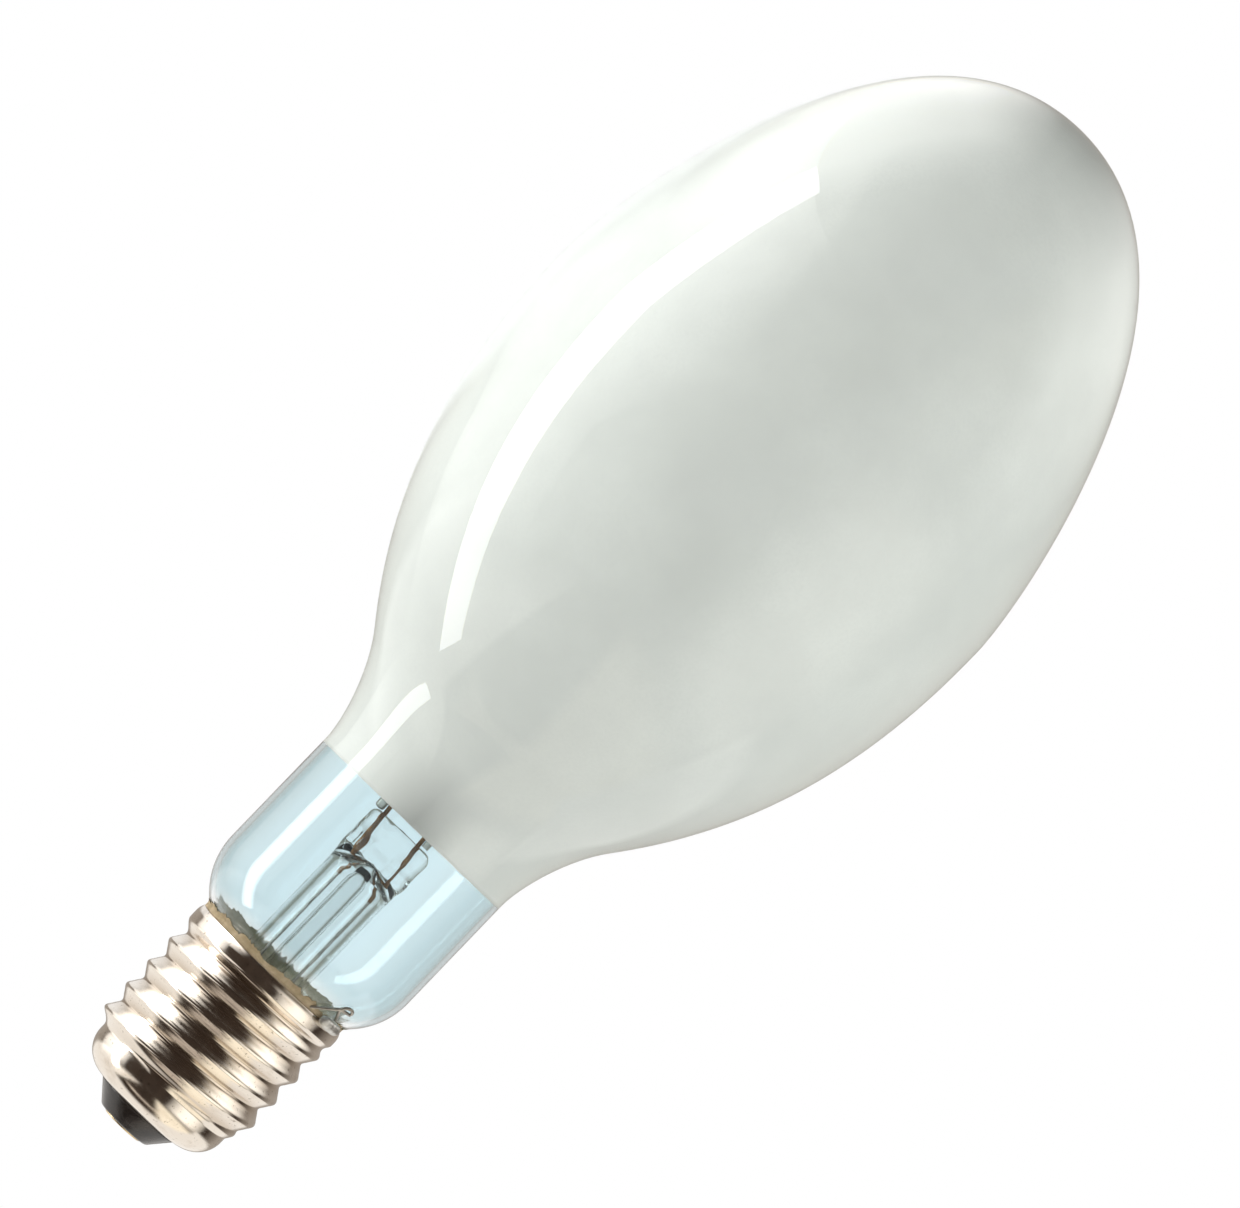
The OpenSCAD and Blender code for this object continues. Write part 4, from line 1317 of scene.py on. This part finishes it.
def coil_tree(material):
    """Geometry nodes that wind the electrode's coil: a spiral curve with a round wire on it."""
    lengths = ("Turns", "Coil Radius", "Wire Radius", "Length", "Start")
    tree, size = geometry_tree("Electrode Coil", (), lengths)
    spiral = add(
        tree,
        "GeometryNodeCurveSpiral",
        {
            "Resolution": 24,
            "Rotations": size["Turns"],
            "Start Radius": size["Coil Radius"],
            "End Radius": size["Coil Radius"],
            "Height": size["Length"],
        },
    )
    section = {"Resolution": 12, "Radius": size["Wire Radius"]}
    wire = add(tree, "GeometryNodeCurvePrimitiveCircle", section, mode="RADIUS")
    curves = {"Curve": spiral.outputs[0], "Profile Curve": wire.outputs[0], "Fill Caps": True}
    swept = add(tree, "GeometryNodeCurveToMesh", curves).outputs[0]
    offset = add(tree, "ShaderNodeCombineXYZ", {"Z": size["Start"]}).outputs[0]
    placed = add(tree, "GeometryNodeTransform", {"Geometry": swept, "Translation": offset})
    finish_geometry(tree, placed.outputs[0], TOUCHING, material)
    return tree


class LAMP_OT_arc_tube(bpy.types.Operator):
    """Quartz arc tube with its electrodes, coils, foils and leads"""

    bl_idname = "lamp.arc_tube"
    bl_label = "Arc Tube"

    def execute(self, context):
        quartz = glass_material("quartz", (0.95, 0.965, 0.97), 0.00003, 150.0)
        finish_node("arc_tube", quartz)
        grey, dark = (0.42, 0.41, 0.40), (0.22, 0.21, 0.21)
        tungsten = metal_material("tungsten", grey, dark, 0.38, (1, 1, 0.3), 600.0)
        silver, dull = (0.56, 0.55, 0.54), (0.34, 0.33, 0.33)
        molybdenum = metal_material("molybdenum", silver, dull, 0.25, (1, 1, 0.3), 500.0)
        for node in ("upper_electrode", "lower_electrode"):
            finish_node(node, tungsten)
        for node in ("upper_foil", "lower_foil", "upper_tube_lead", "lower_tube_lead"):
            finish_node(node, molybdenum)
        tree = coil_tree(tungsten)
        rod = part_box("upper_electrode")[1].x
        for node in ("upper_electrode_coil", "lower_electrode_coil"):
            low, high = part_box(node)
            wire = (high.x - rod - SEAT) / 2
            values = {
                "Turns": 5.0,
                "Coil Radius": high.x - wire,
                "Wire Radius": wire,
                "Length": high.z - low.z - 2 * wire,
                "Start": low.z + wire,
            }
            mesh = grown_mesh(node + "_wound", tree, values)
            piece = mesh_object(node + "_wound", mesh, tungsten)
            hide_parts(node)
        return {"FINISHED"}


def facing(location, target):
    """A matrix at location that looks at target, as lamps do along their own -Z."""
    back = (location - target).normalized()
    right = Vector((0, 0, 1)).cross(back).normalized()
    up = back.cross(right)
    matrix = Matrix((right, up, back)).transposed().to_4x4()
    matrix.translation = location
    return matrix


def soft_lamp(name, location, target, width, height, radiance):
    """A rectangular lamp of that radiance, seen in reflections but not by the camera."""
    light = bpy.data.lights.new(name, "AREA")
    light.shape = "RECTANGLE"
    light.size, light.size_y = width, height
    light.energy = radiance * math.pi * width * height
    lamp = bpy.data.objects.new(name, light)
    bpy.context.scene.collection.objects.link(lamp)
    lamp.matrix_world = facing(location, target)
    lamp.visible_camera = False


def stage_object(name, mesh, material):
    piece = bpy.data.objects.new(name, mesh)
    bpy.context.scene.collection.objects.link(piece)
    mesh.materials.append(material)
    return piece


def soft_box(name, low_part, high_part, heights, top_gain, radiance, colour):
    """An upright curved soft box round the lamp, seen in reflections only.

    Each part is its middle's azimuth and half its width in degrees, with 0 on the camera's side, and how
    fast its light fades to the sides. The low part is beside the cap and the high part beside the bulb.
    """
    radius, columns, rows = 0.9, 32, 24
    low, high = heights
    bm = bmesh.new()
    fade = bm.verts.layers.float.new("fade")
    grid = []
    for j in range(rows + 1):
        z = low + (high - low) * j / rows
        share = smooth_step((z - 0.02) / 0.22)
        azimuth, half_angle, falloff = (a + (b - a) * share for a, b in zip(low_part, high_part))
        upright = smooth_step(4 * min(j, rows - j) / rows) * (1 + (top_gain - 1) * j / rows)
        row = []
        for i in range(columns + 1):
            aside = 2 * i / columns - 1
            vertex = bm.verts.new(around(radius, azimuth + half_angle * aside, z))
            vertex[fade] = upright * max(0, math.cos(math.pi / 2 * aside)) ** falloff
            row.append(vertex)
        grid.append(row)
    for low_row, high_row in zip(grid, grid[1:]):
        for i in range(columns):
            bm.faces.new((low_row[i], low_row[i + 1], high_row[i + 1], high_row[i]))
    mesh = bpy.data.meshes.new(name)
    bm.to_mesh(mesh)
    bm.free()
    material, tree, output = new_material(name)
    faded = add(tree, "ShaderNodeAttribute", attribute_name="fade").outputs["Fac"]
    cloth = grain(tree, 40.0, detail=2.0)
    woven = spread(tree, cloth, 0.3, 0.7, radiance * 0.96, radiance * 1.04)
    strength = product(tree, faded, woven)
    glow = add(tree, "ShaderNodeEmission", {"Color": (*colour, 1), "Strength": strength})
    clear = tree.nodes.new("ShaderNodeBsdfTransparent")
    both = add(tree, "ShaderNodeAddShader", {0: glow.outputs[0], 1: clear.outputs[0]})
    tree.links.new(both.outputs[0], output.inputs["Surface"])
    panel = stage_object(name, mesh, material)
    panel.visible_camera = False
    panel.visible_diffuse = False
    panel.visible_transmission = False
    panel.visible_shadow = False


def background_rays(tree):
    """1 for rays that should see the white background."""
    path = tree.nodes.new("ShaderNodeLightPath").outputs
    seen = most(tree, path["Is Camera Ray"], path["Is Glossy Ray"])
    return most(tree, seen, path["Is Transmission Ray"])


class LAMP_OT_stage(bpy.types.Operator):
    """Pale floor, white background, tent of drapes that only the lamp shows, lamps and camera"""

    bl_idname = "lamp.stage"
    bl_label = "Stage"

    def execute(self, context):
        stage = context.scene.lamp_stage
        self.floor(stage)
        self.drapes(stage)
        self.world(context.scene, stage)
        soft_lamp("strip_light", around(0.305, -79.6, 0.095), around(0, 0, 0.095), 0.085, 0.67, stage.strip)
        white, cream = (1.0, 0.99, 0.97), (1.0, 0.97, 0.90)
        soft_box("left_soft_box", (-91, 33, 0.4), (-87, 52, 1.3), (-0.56, 1.0), 4.6, stage.left, white)
        soft_box("right_soft_box", (60, 37, 0.9), (58, 46, 1.4), (-0.56, 0.60), 0.9, stage.right, cream)
        self.camera(context.scene, stage)
        return {"FINISHED"}

    @staticmethod
    def floor(stage):
        bm = bmesh.new()
        ringed(bm, [ring(r, stage.floor_height, 64) for r in (3.0, 1.5, 0.6, 0.0)], closed=False)
        mesh = from_bmesh("floor", bm)
        for polygon in mesh.polygons:
            polygon.use_smooth = False
        if mesh.polygons[0].normal.z < 0:
            mesh.flip_normals()
        material, tree, output = new_material("pale_floor")
        far = ramp(tree, off_axis(tree, place_on_axes(tree)), 0.5, 1.4)
        pulp = bump(tree, grain(tree, 60.0, detail=4.0), 0.0002, 0.2)
        finish = {"Base Color": (0.86, 0.86, 0.85, 1), "Roughness": 0.9, "Normal": pulp}
        card = principled(tree, finish).outputs[0]
        white = add(tree, "ShaderNodeEmission", {"Color": (1, 1, 1, 1), "Strength": 1.0}).outputs[0]
        faint = add(tree, "ShaderNodeEmission", {"Color": (1, 1, 1, 1), "Strength": 0.45}).outputs[0]
        near = add(tree, "ShaderNodeAddShader", {0: card, 1: faint}).outputs[0]
        shown = add(tree, "ShaderNodeMixShader", {0: far, 1: near, 2: white}).outputs[0]
        mixed = add(tree, "ShaderNodeMixShader", {0: background_rays(tree), 1: card, 2: shown})
        tree.links.new(mixed.outputs[0], output.inputs["Surface"])
        stage_object("floor", mesh, material)

    @staticmethod
    def drapes(stage):
        """A tent, dark on the camera's side, so that the metal mirrors something dark between the lamps.

        The camera never sees it itself, only mirrored in the lamp or through its glass.
        """
        tent = curve_points([(1.3, stage.floor_height), (1.3, 0.6), (1.2, 1.0), (0, 1.05)], 24)
        bm = bmesh.new()
        ringed(bm, [ring(r, z, 96) for r, z in [(0, stage.floor_height + 0.01)] + tent], closed=False)
        mesh = bpy.data.meshes.new("drapes")
        bm.to_mesh(mesh)
        bm.free()
        material, tree, output = new_material("dark_drape")
        place = place_on_axes(tree)
        x, y, z = place["X"], place["Y"], place["Z"]
        folds = grain(tree, 3.0, detail=3.0, stretch=(1, 1, 0.1))
        cloth = blend_colour(tree, folds, (0.018, 0.011, 0.008), (0.070, 0.050, 0.038))
        # Pale sheets at the left and the right of the tent's floor and roof, and a thin line on the floor
        top = maths(tree, "GREATER_THAN", z, 0.2)
        bottom = maths(tree, "SUBTRACT", 1.0, top)
        flat = ramp(tree, off_axis(tree, place), 1.15, 0.80)
        left_from = product(tree, x, blend_value(tree, top, 1.65, 1.0))
        left = product(tree, flat, ramp(tree, left_from, -0.66, -0.74))
        right_top = spread(tree, x, 0.42, 0.60, 0.0, product(tree, top, 0.45))
        right_low = spread(tree, x, 0.12, 0.24, 0.0, bottom)
        right = product(tree, flat, most(tree, right_top, right_low))
        line = ramp(tree, maths(tree, "ABSOLUTE", maths(tree, "ADD", y, 0.21)), 0.06, 0.03)
        middle = ramp(tree, maths(tree, "ABSOLUTE", x), 0.4, 0.2)
        cloth = blend_colour(tree, product(tree, bottom, line, middle), cloth, (0.7, 0.62, 0.54))
        cloth = blend_colour(tree, right, cloth, (1.25, 1.16, 0.98))
        cloth = blend_colour(tree, left, cloth, (1.2, 1.15, 1.08))
        # Paler cloth behind the lamp, on the rear of the floor, and overhead at both sides
        band = product(tree, ramp(tree, z, 0.08, 0.16), ramp(tree, z, 0.62, 0.52))
        high_left = product(tree, ramp(tree, x, 0.1, -0.1), band)
        behind = blend_colour(tree, high_left, (0.40, 0.36, 0.32), (1, 1, 1))
        mirrored = blend_colour(tree, ramp(tree, y, 0.35, 1.0), cloth, behind)
        under = product(tree, ramp(tree, z, -0.30, -0.42), ramp(tree, y, -0.02, 0.10))
        mirrored = blend_colour(tree, under, mirrored, (1.05, 1.02, 0.98))
        overhead = product(tree, ramp(tree, z, 0.55, 0.9), ramp(tree, y, -0.35, 0.0))
        sides = most(tree, ramp(tree, x, -0.05, -0.4), spread(tree, x, 0.1, 0.6, 0.0, 0.6))
        mirrored = blend_colour(tree, product(tree, overhead, sides), mirrored, (3.0, 2.95, 2.85))
        # Through the glass the tent is grey, and white far in front of the lamp and far behind it
        clear_ways = most(tree, ramp(tree, y, 0.95, 1.24), ramp(tree, y, -0.5, -0.9))
        through = blend_colour(tree, clear_ways, (0.33, 0.305, 0.25), (1, 1, 1))
        path = tree.nodes.new("ShaderNodeLightPath").outputs
        cloth = blend_colour(tree, path["Is Transmission Ray"], mirrored, through)
        glow = add(tree, "ShaderNodeEmission", {"Color": cloth, "Strength": 1.0})
        tree.links.new(glow.outputs[0], output.inputs["Surface"])
        drapes = stage_object("drapes", mesh, material)
        drapes.visible_camera = False
        drapes.visible_diffuse = False
        drapes.visible_shadow = False

    @staticmethod
    def world(scene, stage):
        world = bpy.data.worlds.new("studio")
        scene.world = world
        world.use_nodes = True
        tree = world.node_tree
        tree.nodes.clear()
        direction = tree.nodes.new("ShaderNodeTexCoord").outputs["Generated"]
        way = add(tree, "ShaderNodeSeparateXYZ", {"Vector": direction}).outputs
        from_below = spread(tree, way["Z"], -0.35, 0.04, stage.ambient, stage.ambient * 0.05)
        strength = product(tree, from_below, spread(tree, way["X"], -1.0, 1.0, 0.60, 1.42))
        soft = add(tree, "ShaderNodeBackground", {"Color": (1.0, 1.0, 0.985, 1), "Strength": strength})
        white = add(tree, "ShaderNodeBackground", {"Color": (1, 1, 1, 1), "Strength": 1.0})
        ends = {0: background_rays(tree), 1: soft.outputs[0], 2: white.outputs[0]}
        mixed = add(tree, "ShaderNodeMixShader", ends)
        output = tree.nodes.new("ShaderNodeOutputWorld")
        tree.links.new(mixed.outputs[0], output.inputs["Surface"])

    @staticmethod
    def camera(scene, stage):
        data = bpy.data.cameras.new("camera")
        data.sensor_fit = "HORIZONTAL"
        data.sensor_width = 36
        data.lens = stage.lens
        data.clip_start, data.clip_end = 0.02, 50
        camera = bpy.data.objects.new("camera", data)
        scene.collection.objects.link(camera)
        forward = Vector((0, math.cos(stage.pitch), math.sin(stage.pitch)))
        right = Vector((1, 0, 0))
        up = right.cross(forward)
        turned_right = math.cos(stage.roll) * right + math.sin(stage.roll) * up
        turned_up = math.cos(stage.roll) * up - math.sin(stage.roll) * right
        matrix = Matrix((turned_right, turned_up, -forward)).transposed().to_4x4()
        matrix.translation = Vector((-0.0005, -stage.distance, stage.height))
        camera.matrix_world = matrix
        scene.camera = camera
        scene.view_settings.view_transform = "Standard"


class LAMP_PT_panel(bpy.types.Panel):
    """Lists the pieces of the lamp with their sizes"""

    bl_label = "Metal Halide Lamp"
    bl_idname = "LAMP_PT_panel"
    bl_space_type = "VIEW_3D"
    bl_region_type = "UI"
    bl_category = "Lamp"

    def draw(self, context):
        for operator in OPERATORS:
            self.layout.operator(operator.bl_idname)
        for name in SETTINGS:
            settings = getattr(context.scene, name)
            box = self.layout.box()
            for field in settings.__annotations__:
                box.prop(settings, field)


SETTINGS = {
    "lamp_bulb": LampBulbSettings,
    "lamp_cap": LampCapSettings,
    "lamp_stem": LampStemSettings,
    "lamp_stage": LampStageSettings,
}
OPERATORS = (
    LAMP_OT_outer_bulb,
    LAMP_OT_coating,
    LAMP_OT_screw_shell,
    LAMP_OT_insulator,
    LAMP_OT_contact,
    LAMP_OT_rim_solder,
    LAMP_OT_cement,
    LAMP_OT_stem,
    LAMP_OT_leads,
    LAMP_OT_mount,
    LAMP_OT_arc_tube,
    LAMP_OT_stage,
)


def register():
    for group in (*SETTINGS.values(), *OPERATORS, LAMP_PT_panel):
        bpy.utils.register_class(group)
    for name, group in SETTINGS.items():
        setattr(bpy.types.Scene, name, PointerProperty(type=group))


def unregister():
    for name in SETTINGS:
        delattr(bpy.types.Scene, name)
    for group in (LAMP_PT_panel, *reversed(OPERATORS), *reversed(tuple(SETTINGS.values()))):
        bpy.utils.unregister_class(group)


def main():
    register()
    for operator in OPERATORS:
        getattr(bpy.ops.lamp, operator.bl_idname.split(".")[1])()


if __name__ == "__main__":
    main()
